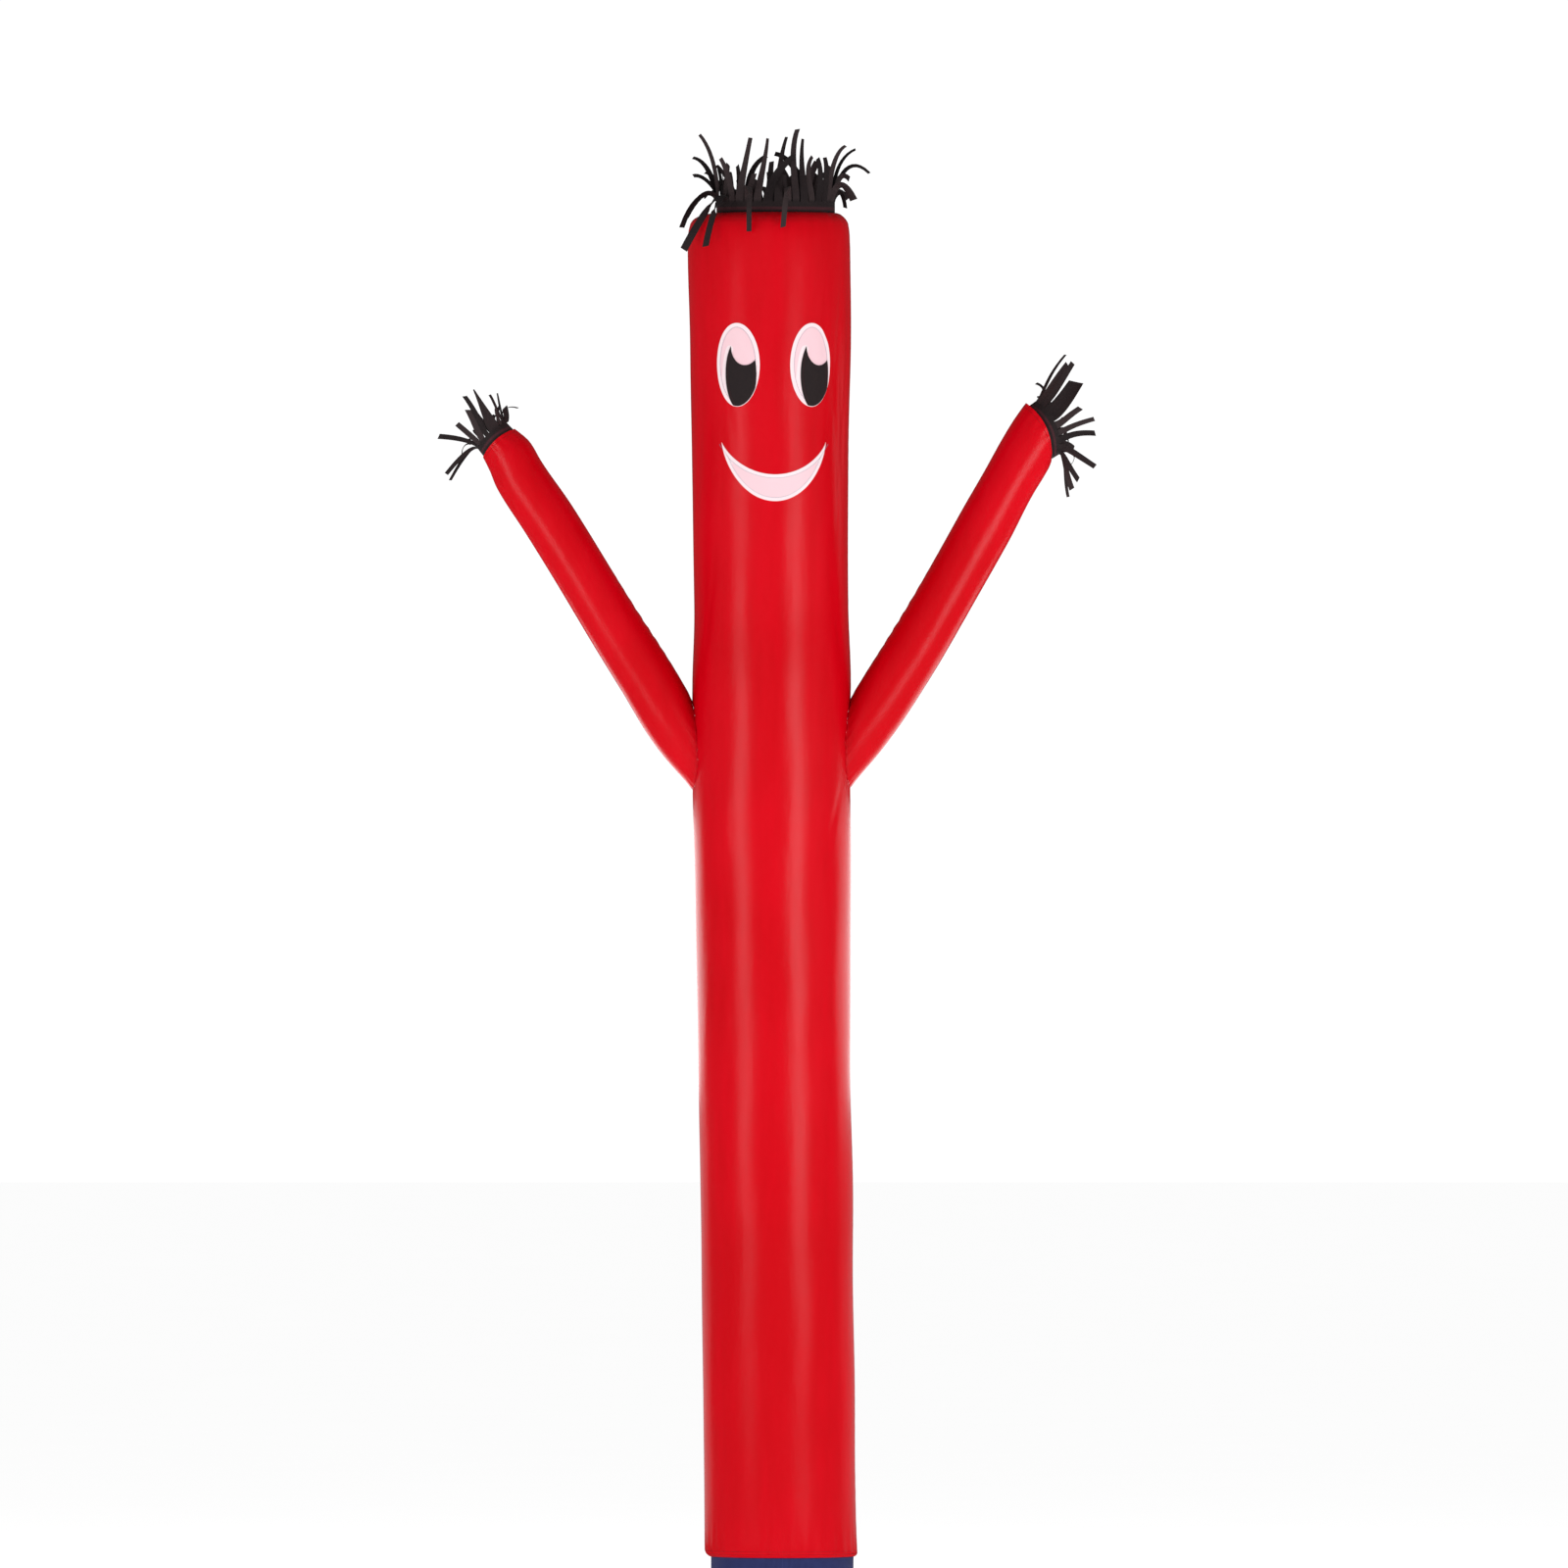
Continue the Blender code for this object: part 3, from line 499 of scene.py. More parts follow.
# %% [markdown]
# ## The body's surface
#
# One function says where the body's cloth lies at an angle and a height, and everything that is sewn to the
# body uses it too: that is why nothing cuts through anything else. It adds up what the cloth does: slow waves,
# gathers at the hem and at the open vent, puckers along the arm seams and along the tube's one long seam, and
# the few crinkles that the air doesn't press out, most of them beside the right eye.

# %% Waves, gathers and puckers
Wave = namedtuple("Wave", "times_round rise phase share")
SLACK = 0.0006
HEM_FADE = 0.004
SLACK_FADE = 0.05
SLACK_WAVES = [Wave(3, 11, 0, 1.0), Wave(5, -17, 1.3, 0.7)]
HEM_GATHERS, HEM_GATHER_DEEP, HEM_GATHER_LONG = 34, 0.0009, 0.045
VENT_GATHERS, VENT_GATHER_DEEP, VENT_GATHER_LONG = 29, 0.0013, 0.030
PUCKERS, PUCKER_DEEP, PUCKER_WIDE = 26, 0.0010, 0.020
LONG_SEAM_DEG = 97
LONG_SEAM_WIDE = 0.016
LONG_SEAM_DEEP = 0.0015
LONG_SEAM_PITCH = 0.027
GIRTH_HEIGHT, HEAD_EDGE_HEIGHT = 1.5, 2.786


def smooth_step(value):
    value = min(max(value, 0.0), 1.0)
    return value * value * (3 - 2 * value)


def slack(angle, height):
    """The slow waves: those of the solid model, half as deep."""
    wave = 0
    for row in SLACK_WAVES:
        wave += row.share * math.sin(row.times_round * angle + row.rise * height + row.phase)
    ends = min(height - HEM.height, VENT.height - height) / SLACK_FADE
    return SLACK * wave * smooth_step(ends)


def gathers(angle, height):
    """Small folds that the hem's band and the vent's edge draw in, uneven round the tube."""
    uneven = angle + 0.06 * math.sin(5 * angle) + 0.04 * math.sin(8 * angle + 1)
    hem = math.exp(-(((height - cuff_high.z) / HEM_GATHER_LONG) ** 2)) * math.cos(HEM_GATHERS * uneven)
    hem *= smooth_step((height - HEM.height) / HEM_FADE)
    vent = smooth_step(1 - (VENT.height - height) / VENT_GATHER_LONG) * math.cos(VENT_GATHERS * uneven)
    return HEM_GATHER_DEEP * hem + VENT_GATHER_DEEP * vent


def pucker(place, away):
    """The drawn-in cloth beside an arm's seam: place goes from 0 to 1 round it, away is the distance."""
    fade = math.exp(-((away / PUCKER_WIDE) ** 2))
    return PUCKER_DEEP * fade * (math.cos(TURN * PUCKERS * place + 2 * math.sin(TURN * 3 * place)) - 1)


def long_seam(angle, height, radius):
    """The scalloped line of the tube's own seam, which runs down just behind its right edge."""
    turn = turn_from(angle, LONG_SEAM_DEG)
    fade = math.exp(-((turn * radius / LONG_SEAM_WIDE) ** 2))
    scallop = math.sin(TURN * height / LONG_SEAM_PITCH + 2.5 * math.sin(6.1 * height)) - 1
    return LONG_SEAM_DEEP * fade * scallop / 2


# %% Crinkles beside the face
Crinkle = namedtuple("Crinkle", "angle_deg height slant long wide deep")
CRINKLES = [
    Crinkle(44, 2.640, 0.10, 0.110, 0.0075, 0.0014),
    Crinkle(50, 2.555, 0.05, 0.090, 0.0070, 0.0012),
    Crinkle(57, 2.610, 0.12, 0.120, 0.0080, 0.0015),
    Crinkle(63, 2.500, -0.05, 0.110, 0.0080, 0.0014),
    Crinkle(55, 2.440, -0.12, 0.085, 0.0075, 0.0013),
    Crinkle(47, 2.405, 0.20, 0.060, 0.0070, 0.0011),
    Crinkle(68, 2.390, 0.02, 0.100, 0.0080, 0.0013),
    Crinkle(72, 2.580, 0.06, 0.120, 0.0075, 0.0013),
    Crinkle(38, 2.700, 0.15, 0.060, 0.0070, 0.0009),
    Crinkle(-28, 2.420, -0.25, 0.050, 0.0075, 0.0008),
    Crinkle(-66, 2.330, 0.08, 0.120, 0.0085, 0.0011),
    Crinkle(61, 2.290, 0.10, 0.090, 0.0085, 0.0012),
    Crinkle(-52, 2.050, 0.18, 0.090, 0.0090, 0.0011),
    Crinkle(58, 2.020, -0.16, 0.100, 0.0090, 0.0012),
    Crinkle(-47, 1.600, -0.35, 0.070, 0.0090, 0.0012),
    Crinkle(52, 1.600, 0.38, 0.080, 0.0090, 0.0013),
    Crinkle(150, 2.300, 0.10, 0.140, 0.0090, 0.0012),
    Crinkle(-150, 1.300, -0.08, 0.160, 0.0090, 0.0012),
    Crinkle(176, 0.700, 0.05, 0.150, 0.0090, 0.0010),
]


def crinkled(angle, height, radius):
    """Long soft troughs, each a blunt line that leans by its slant."""
    deep = 0
    for row in CRINKLES:
        up = height - row.height
        if abs(up) > 2 * row.long:
            continue
        turn = turn_from(angle, row.angle_deg)
        across = turn * radius - up * row.slant
        if abs(across) < 4 * row.wide:
            deep += row.deep * math.exp(-((across / row.wide) ** 2) - (up / row.long) ** 2)
    return -deep


# %% One point of the body's cloth
NEAR_SEAM = 0.05
ARM_ZONE = (1.55, 1.98)


def body_point(angle, height, grow=0.0):
    """Where the body's cloth is, grow metres outside it."""
    middle_x, radius = body_section(height)
    relief = slack(angle, height) + gathers(angle, height)
    relief += long_seam(angle, height, radius) + crinkled(angle, height, radius)
    if ARM_ZONE[0] < height < ARM_ZONE[1]:
        bare = Vector((middle_x + radius * math.sin(angle), -radius * math.cos(angle), height))
        _, number, away = seam_tree.find(bare)
        if away < NEAR_SEAM:
            relief += pucker(number % SEAM_POINTS / SEAM_POINTS, away)
    reach = radius + relief + grow
    return Vector((middle_x + reach * math.sin(angle), -reach * math.cos(angle), height))


print("A point in front, at the height of the mouth:", tuple(body_point(0, 2.3)))

# %% [markdown]
# ## From rings to cloth
#
# A tube of cloth is a stack of rings with faces between them. Each corner also gets its place on the flat
# cloth, in metres, in a UV map: the weave then follows the cloth round a bend and has the same thread
# everywhere. A Solidify modifier gives the sheet its thickness inwards, and the helper turns the result into a
# plain mesh, moved to where the cuff stands.

# %% Meshes and walls
SMOOTH_UP_TO = math.radians(50)


def linked(name, data):
    """A new object in the scene with this mesh, lamp or camera."""
    piece = bpy.data.objects.new(name, data)
    bpy.context.scene.collection.objects.link(piece)
    return piece


def ring_faces(mesh, low, high):
    """Joins two rings of corners by one face a side, in order round them."""
    pairs = list(zip(range(len(low)), [*range(1, len(low)), 0]))
    return [mesh.faces.new((low[side], low[after], high[after], high[side])) for side, after in pairs]


def loft(name, rings, places, turned=False):
    """A tube through rings of equally many points; places says how far along the cloth each ring lies."""
    mesh = bmesh.new()
    layer = mesh.loops.layers.uv.new("cloth")
    count = len(rings[0])
    girth = sum((a - b).length for a, b in zip(rings[0], rings[0][1:] + rings[0][:1]))
    verts = [[mesh.verts.new(point) for point in ring] for ring in rings]
    for low, high, start, end in zip(verts, verts[1:], places, places[1:]):
        for side, face in enumerate(ring_faces(mesh, low, high)):
            spots = ((side, start), (side + 1, start), (side + 1, end), (side, end))
            for loop, (across, along) in zip(face.loops, spots):
                loop[layer].uv = (across / count * girth, along)
    if turned:
        bmesh.ops.reverse_faces(mesh, faces=mesh.faces[:])
    return shown(name, mesh)


def shown(name, mesh):
    data = bpy.data.meshes.new(name)
    mesh.to_mesh(data)
    mesh.free()
    data.shade_smooth()
    return linked(name, data)


def closed(name, rings):
    """The room inside a stack of rings of points, as a solid with flat ends."""
    mesh = bmesh.new()
    verts = [[mesh.verts.new(point) for point in ring] for ring in rings]
    for low, high in zip(verts, verts[1:]):
        ring_faces(mesh, low, high)
    mesh.faces.new(verts[0])
    mesh.faces.new(verts[-1])
    bmesh.ops.recalc_face_normals(mesh, faces=mesh.faces[:])
    return shown(name, mesh)


def wall(piece, thickness, offset=-1.0):
    solid = piece.modifiers.new("wall", "SOLIDIFY")
    solid.thickness = thickness
    solid.offset = offset
    solid.use_even_offset = True


def boolean(piece, cutter, operation):
    cut = piece.modifiers.new("cut", "BOOLEAN")
    cut.operation = operation
    cut.object = cutter


def settled(piece, move=STAND):
    """The piece as a plain mesh, with its modifiers applied and its place in its mesh."""
    evaluated = piece.evaluated_get(bpy.context.evaluated_depsgraph_get())
    data = bpy.data.meshes.new_from_object(evaluated)
    data.transform(Matrix.Translation(move))
    name = piece.name
    bpy.data.objects.remove(piece)
    data.name = name
    return linked(name, data)


def dressed(piece, cloth):
    """Gives the piece one cloth or thread all over."""
    piece.data.materials.clear()
    piece.data.materials.append(cloth)
    piece.data.shade_smooth()
    piece.data.set_sharp_from_angle(angle=SMOOTH_UP_TO)
    print(piece.name, "has", len(piece.data.polygons), "faces")
    return piece


# %% [markdown]
# ## The body tube
#
# The tube is open at the hem and at the vent in the head, and has a hole where each arm leaves it. The rows lie
# closer where the cloth turns in at both ends. The holes are cut by a plug of each arm's inside, so the air's
# way into the arm is as open as on the real dancer.

# %% The body's rows
NYLON = 0.0008
GAP = 0.0003
BODY_SIDES = 216
BODY_STEP = 0.0155
CLOSE_AT_HEM, CLOSE_AT_VENT, CLOSE_STEP = 0.02, 0.03, 0.005
ARM_SIDES = 84
CUTTER_ROWS = 24
PLUG_TABLE_ROW = 3


def body_heights():
    heights = [HEM.height]
    for low, high in zip(BODY, BODY[1:]):
        run = math.hypot(high.height - low.height, high.radius - low.radius)
        at_an_end = high.height - HEM.height < CLOSE_AT_HEM or VENT.height - low.height < CLOSE_AT_VENT
        steps = math.ceil(run / (CLOSE_STEP if at_an_end else BODY_STEP))
        heights += [low.height + (high.height - low.height) * step / steps for step in range(1, steps + 1)]
    return heights


def body_ring(height, grow=0.0):
    return [body_point(turn, height, grow) for turn in turns(BODY_SIDES)]


def arm_plug(sleeve):
    """The room inside an arm's root, as a closed solid that cuts the hole in the body."""
    far = table_places(sleeve.table)[PLUG_TABLE_ROW]
    rings = [ring_at(sleeve, far * step / CUTTER_ROWS) for step in range(CUTTER_ROWS + 1)]
    inner = [[ring_point(ring, turn, -NYLON) for turn in turns(ARM_SIDES)] for ring in rings]
    return closed(f"plug_{sleeve.name}", inner)


heights = body_heights()
body_tube = loft("tube_cloth", [body_ring(height) for height in heights], heights)
wall(body_tube, NYLON)
plugs = [arm_plug(sleeve) for sleeve in SLEEVES]
for plug in plugs:
    boolean(body_tube, plug, "DIFFERENCE")
body_tube = dressed(settled(body_tube), CLOTHS["red_nylon"])
for plug in plugs:
    bpy.data.objects.remove(plug)

# %% [markdown]
# ## The arms
#
# An arm is a tube of the same nylon that widens to a slanted mouth at the body and is open at the hand. It is
# built a little way into the body and then cut off along the body's own surface, so its edge follows the wall
# with all its puckers. Its cloth has soft cross folds where it bends upwards out of the body.

# %% Arm cloth
ARM_STEP = 0.010
BEND_FOLD_DEEP = 0.0016
BEND_FOLD_PITCH = 0.034
BEND_AT, BEND_LONG = 0.42, 0.10
ARM_SLACK = 0.8
HAND_GATHERS, HAND_GATHER_DEEP, HAND_GATHER_LONG = 15, 0.0009, 0.030


def arm_relief(sleeve, angle, place):
    """What the arm's cloth does: puckers at both ends and folds across the inside of its bend."""
    seam_places = SEAMS[sleeve.name][0]
    turn = angle / TURN * SEAM_POINTS
    number = int(turn) % SEAM_POINTS
    seam = seam_places[number] + (seam_places[(number + 1) % SEAM_POINTS] - seam_places[number]) * (turn % 1)
    relief = pucker(turn / SEAM_POINTS, place - seam)
    inner = max(math.cos(angle + math.pi / 2), 0.0) ** 2
    bend = math.exp(-(((place - BEND_AT * sleeve.long) / BEND_LONG) ** 2))
    relief += BEND_FOLD_DEEP * inner * bend * (math.sin(TURN * place / BEND_FOLD_PITCH) - 1) / 2
    uneven = angle + 0.1 * math.sin(3 * angle + sleeve.side)
    hand = smooth_step(1 - (sleeve.long - place) / HAND_GATHER_LONG)
    waves = SLACK * ARM_SLACK * math.sin(2 * angle + 16 * place)
    relief += waves * smooth_step((sleeve.long - place) / SLACK_FADE)
    return relief + HAND_GATHER_DEEP * hand * math.cos(HAND_GATHERS * uneven)


def arm_row(sleeve, place):
    ring = ring_at(sleeve, place)
    return [ring_point(ring, turn, arm_relief(sleeve, turn, place)) for turn in turns(ARM_SIDES)]


def body_room():
    """The space that the body takes up where the arms meet it, with the gap that they keep."""
    low, high = ARM_ZONE
    return closed("body_room", [body_ring(height, GAP) for height in heights if low < height < high])


def sleeve_cloth(sleeve, room):
    steps = math.ceil(sleeve.long / ARM_STEP)
    places = [sleeve.long * step / steps for step in range(steps + 1)]
    cloth = loft(f"sleeve_{sleeve.name}", [arm_row(sleeve, place) for place in places], places, sleeve.side < 0)
    wall(cloth, NYLON)
    boolean(cloth, room, "DIFFERENCE")
    return dressed(settled(cloth), CLOTHS["red_nylon"])


room = body_room()
arms = {sleeve.name: sleeve_cloth(sleeve, room) for sleeve in SLEEVES}
bpy.data.objects.remove(room)

# %% [markdown]
# ## The cuff
#
# The blower's rim goes into a band of webbing, woven thick enough to be strapped tight. Its lower edge carries
# the figure, so it is flat there. Its edges are softly rounded, its face waves very slightly, and the red hem
# laps over its upper edge.

# %% The cuff's band
WEBBING = 0.0026
CUFF_SIDES = 144
CUFF_ROWS = 10
CUFF_WAVE = 0.0005
CUFF_EDGE = 0.0005
cuff_radius = (cuff_high.x - cuff_low.x) / 2


def cuff_ring(height):
    """One level ring of webbing, with a wave that dies out where the hem grips it."""
    points = []
    for angle in turns(CUFF_SIDES):
        wave = CUFF_WAVE * math.sin(7 * angle + 1.1) * math.sin(math.pi * height / cuff_high.z) ** 2
        reach = cuff_radius - CUFF_WAVE + wave
        points.append(Vector((reach * math.sin(angle), -reach * math.cos(angle), height)))
    return points


cuff_levels = [cuff_high.z * row / CUFF_ROWS for row in range(CUFF_ROWS + 1)]
cuff = loft("webbing_band", [cuff_ring(level) for level in cuff_levels], cuff_levels)
wall(cuff, WEBBING)
rounding = cuff.modifiers.new("rounding", "BEVEL")
rounding.width = CUFF_EDGE
rounding.segments = 2
rounding.limit_method = "ANGLE"
cuff = dressed(settled(cuff), CLOTHS["navy_webbing"])

# %% [markdown]
# ## Fringes
#
# A fringe is one length of black cloth, tucked inside a red edge and cut into strips almost down to it. Those
# that can be told apart are listed, each with an elbow and a tip; seeded ones fill the rest, and each is tried
# until it crosses no other. The hair is doubled back on itself, which makes it dense. Every strip follows a
# Bezier curve, with a slight cup across it, a turn along it and a crooked cut at its tip.

# %% The strips' sizes
STRIP_CLOTH = 0.0007
TUCK = 0.012
HAND_TUCK = 0.008
VENT_INSET = 0.0016
RIGHT_SLANT, LEFT_SLANT = 2.0, 1.4
SOLID_CLOTH = 0.002
SOLID_ARM_SIDES = 24
SLIT = 0.0024
LEAD = 0.35
FLARE = 1.4
WIDE_STRIP = 0.018
CROSSING_ROOM = 0.0046
TEST_STEPS = 6
TRIES = 120
ROOM_ABOVE_HEAD, ROOM_BESIDE_HEAD, ROOM_AT_ARM = 0.006, 0.008, 0.002
BACK_REACH = 0.1765

Loose = namedtuple("Loose", "seed pitch narrow wide short long least_droop most_droop lean")
HEAD_LOOSE = Loose(11, 0.0124, 0.009, 0.014, 0.055, 0.125, 0.12, 1.05, 0.15)
INNER_LOOSE = Loose(3, 0.0158, 0.0125, 0.0145, 0.055, 0.100, 0.05, 0.35, -0.08)
RIGHT_LOOSE = Loose(5, 0.0124, 0.007, 0.013, 0.050, 0.090, 0.12, 1.05, 0.15)
LEFT_LOOSE = Loose(8, 0.0124, 0.007, 0.013, 0.050, 0.090, 0.12, 1.05, 0.15)
MOST_SWAY = 0.35
MOST_FACING = 1.2
ELBOW_RISE, ELBOW_DROOP, ELBOW_SWAY = 0.55, 0.25, 0.4
TIP_DROOP = 0.55
LEAST_TAPER = 0.7
LAYERS_APART = 0.010
Layer = namedtuple("Layer", "strips ring foot_ring band")

# %% The listed strips
Strip = namedtuple("Strip", "root_deg width tip_width elbow tip facing", defaults=[2.0])
HEAD_BAND = 0.022
HEAD_STRIPS = [
    Strip(-96, 0.010, 0.006, (-0.142, 0.020, 0.090), (-0.174, 0.030, 0.095)),
    Strip(-84, 0.013, 0.012, (-0.150, -0.010, 0.045), (-0.188, -0.020, -0.033)),
    Strip(-77, 0.012, 0.007, (-0.128, -0.030, 0.105), (-0.160, -0.045, 0.142)),
    Strip(-70, 0.013, 0.012, (-0.165, -0.062, 0.040), (-0.197, -0.075, -0.054)),
    Strip(-62, 0.015, 0.016, (-0.132, -0.122, 0.014), (-0.193, -0.110, -0.101)),
    Strip(-55, 0.0125, 0.013, (-0.127, -0.148, 0.012), (-0.147, -0.160, -0.095)),
    Strip(-48, 0.013, 0.010, (-0.098, -0.090, 0.060), (-0.116, -0.096, 0.091)),
    Strip(-38, 0.014, 0.009, (-0.068, -0.100, 0.060), (-0.053, -0.110, 0.134)),
    Strip(-27, 0.014, 0.011, (-0.056, -0.200, 0.060), (-0.056, -0.1815, -0.064)),
    Strip(-18, 0.014, 0.006, (-0.022, -0.110, 0.080), (-0.017, -0.105, 0.133)),
    Strip(-8, 0.015, 0.012, (0.000, -0.127, 0.070), (0.040, -0.134, 0.095)),
    Strip(3, 0.013, 0.006, (0.006, -0.110, 0.085), (0.023, -0.100, 0.136)),
    Strip(12, 0.013, 0.011, (0.026, -0.200, 0.060), (0.0155, -0.183, -0.055)),
    Strip(20, 0.013, 0.011, (0.028, -0.100, 0.105), (0.046, -0.100, 0.152)),
    Strip(29, 0.014, 0.006, (0.050, -0.095, 0.080), (0.057, -0.090, 0.132)),
    Strip(38, 0.012, 0.007, (0.058, -0.095, 0.070), (0.077, -0.090, 0.095)),
    Strip(46, 0.013, 0.009, (0.100, -0.100, 0.060), (0.088, -0.100, 0.091)),
    Strip(55, 0.013, 0.008, (0.112, -0.080, 0.065), (0.103, -0.085, 0.093)),
    Strip(64, 0.013, 0.006, (0.120, -0.055, 0.105), (0.147, -0.060, 0.118)),
    Strip(72, 0.019, 0.018, (0.135, -0.045, 0.065), (0.164, -0.060, 0.004)),
    Strip(80, 0.013, 0.010, (0.140, -0.020, 0.040), (0.146, -0.030, -0.012)),
    Strip(88, 0.015, 0.013, (0.132, 0.000, 0.075), (0.155, 0.000, 0.049)),
    Strip(97, 0.011, 0.006, (0.150, 0.020, 0.110), (0.197, 0.025, 0.062)),
    Strip(106, 0.010, 0.006, (0.125, 0.040, 0.095), (0.168, 0.050, 0.113)),
    Strip(150, 0.011, 0.009, (0.036, 0.102, 0.100), (-0.002, 0.090, 0.105)),
    Strip(-150, 0.011, 0.009, (-0.060, 0.108, 0.080), (-0.020, 0.098, 0.100)),
]
HAND_BAND = 0.020
RIGHT_HAND_STRIPS = [
    Strip(-88, 0.010, 0.006, (-0.006, 0.000, 0.104), (0.038, 0.004, 0.154)),
    Strip(-68, 0.017, 0.012, (0.011, -0.034, 0.094), (0.042, -0.040, 0.133)),
    Strip(-52, 0.016, 0.011, (0.022, -0.052, 0.086), (0.053, -0.058, 0.136)),
    Strip(-24, 0.034, 0.034, (0.036, -0.066, 0.058), (0.060, -0.070, 0.096)),
    Strip(4, 0.014, 0.012, (0.040, -0.072, 0.022), (0.069, -0.078, 0.041)),
    Strip(18, 0.012, 0.010, (0.052, -0.066, 0.006), (0.098, -0.070, 0.018)),
    Strip(34, 0.012, 0.011, (0.054, -0.054, -0.008), (0.100, -0.058, -0.012)),
    Strip(54, 0.015, 0.014, (0.054, -0.042, -0.052), (0.100, -0.044, -0.082)),
    Strip(72, 0.013, 0.011, (0.038, -0.020, -0.072), (0.065, -0.020, -0.110)),
    Strip(86, 0.012, 0.011, (0.036, 0.002, -0.089), (0.052, 0.004, -0.129)),
    Strip(100, 0.010, 0.007, (0.034, 0.024, -0.104), (0.044, 0.030, -0.145)),
]
LEFT_HAND_STRIPS = [
    Strip(-84, 0.012, 0.014, (0.033, -0.004, 0.036), (0.026, -0.006, 0.060)),
    Strip(-18, 0.026, 0.003, (-0.016, -0.056, 0.054), (-0.039, -0.060, 0.097)),
    Strip(10, 0.014, 0.010, (-0.030, -0.058, 0.046), (-0.058, -0.064, 0.083)),
    Strip(30, 0.017, 0.013, (-0.034, -0.048, 0.024), (-0.051, -0.052, 0.054)),
    Strip(50, 0.014, 0.011, (-0.044, -0.036, -0.001), (-0.074, -0.040, 0.025)),
    Strip(66, 0.013, 0.012, (-0.066, -0.022, -0.004), (-0.113, -0.024, -0.001)),
    Strip(82, 0.012, 0.008, (-0.060, -0.004, -0.034), (-0.097, -0.004, -0.080)),
    Strip(98, 0.010, 0.006, (-0.068, 0.016, -0.054), (-0.089, 0.020, -0.093)),
]
print("Strips by hand:", len(HEAD_STRIPS), len(RIGHT_HAND_STRIPS), len(LEFT_HAND_STRIPS))


# %% A strip's middle line and edges
def strip_path(start, lead, elbow, tip, steps):
    """A strip's middle line: it leaves the band along lead, bends past the elbow and ends at the tip."""
    held = (start, start + lead * (elbow - start).length * LEAD, elbow, tip)
    line = []
    for step in range(steps + 1):
        t = step / steps
        shares = ((1 - t) ** 3, 3 * t * (1 - t) ** 2, 3 * t * t * (1 - t), t**3)
        line.append(sum((point * share for point, share in zip(held, shares)), Vector()))
    return line


def own_edges(strip, ring):
    """The two angles between which a strip of its own width leaves the ring."""
    angle = math.radians(strip.root_deg)
    nudge = math.radians(0.5)
    around = ring_point(ring, angle + nudge) - ring_point(ring, angle - nudge)
    half = nudge * strip.width / around.length
    return angle - half, angle + half


def slit_edges(strips, ring):
    """The two angles between which each strip's root lies: only slits part it from its neighbours."""
    half_slit = SLIT / (ring.half_width + ring.half_depth)
    around = [strips[-1]._replace(root_deg=strips[-1].root_deg - 360), *strips]
    around.append(strips[0]._replace(root_deg=strips[0].root_deg + 360))
    slits = []
    for before, after in zip(around, around[1:]):
        share = before.width / (before.width + after.width)
        slits.append(math.radians(before.root_deg + share * (after.root_deg - before.root_deg)))
    return [(start + half_slit, end - half_slit) for start, end in zip(slits, slits[1:])]


Habit = namedtuple("Habit", "cup turn cut shade")
PLAIN_HABIT = Habit(0, 0, 0, 0)


def view_side(strip, ring):
    """1 or -1: which way a strip's width points once it is turned to face the front."""
    around = math.cos(math.radians(strip.root_deg))
    return math.copysign(1, around * ring.across.dot(ring.normal.cross(FRONT)))


def strip_rows(strip, edges, ring, band, steps, columns=1, habit=PLAIN_HABIT):
    """Rows of points along a strip, from its root in the band's upper edge to the cut tip."""
    places = [place / columns for place in range(columns + 1)]
    root = [ring_point(ring, edges[0] + (edges[1] - edges[0]) * place, along=band) for place in places]
    start = ring_point(ring, sum(edges) / 2, along=band)
    rim = ring.middle + ring.normal * band
    line = strip_path(start, ring.normal, rim + Vector(strip.elbow), rim + Vector(strip.tip), steps)
    root_width = (root[-1] - root[0]).length
    side = (root[-1] - root[0]).normalized()
    facing = strip.facing * view_side(strip, ring)
    rows = [root]
    for step in range(1, steps + 1):
        share = step / steps
        ahead = (line[step] - line[step - 1]).normalized()
        side = (side - ahead * side.dot(ahead)).normalized()
        width = strip.width + (strip.tip_width - strip.width) * share
        width += (root_width - width) * (1 - share) ** FLARE
        turned = (side + ahead.cross(FRONT) * facing * share).normalized()
        turned = Matrix.Rotation(habit.turn * share * share, 3, ahead) @ turned
        out = turned.cross(ahead)
        row = []
        for place in places:
            bow = out * (habit.cup * width * share * (1 - (2 * place - 1) ** 2))
            slant = ahead * (habit.cut * width * (place - 0.5) * share**8)
            row.append(line[step] + turned * width * (place - 0.5) + bow + slant)
        rows.append(row)
    return rows


# %% Seeded strips for the rest
def loose_strip(root_deg, ring, loose, chance):
    """A strip of the seeded kind, for where the fringe has none that is listed."""
    angle = math.radians(root_deg)
    outward = ring.across * math.sin(angle) + ring.front * math.cos(angle)
    around = ring.across * math.cos(angle) - ring.front * math.sin(angle)
    width = chance.uniform(loose.narrow, loose.wide)
    reach = chance.uniform(loose.short, loose.long)
    droop = chance.uniform(loose.least_droop, loose.most_droop)
    sway = chance.uniform(-MOST_SWAY, MOST_SWAY) * reach
    start = outward * ring.half_width
    elbow = start + ring.normal * reach * ELBOW_RISE
    elbow = elbow + outward * reach * (loose.lean + ELBOW_DROOP * droop) + around * sway * ELBOW_SWAY
    tip = start + ring.normal * reach * (1 - droop)
    tip = tip + outward * reach * (loose.lean + TIP_DROOP * droop) + around * sway
    tip_width = width * chance.uniform(LEAST_TAPER, 1.0)
    return Strip(root_deg, width, tip_width, tuple(elbow), tuple(tip), chance.uniform(0, MOST_FACING))


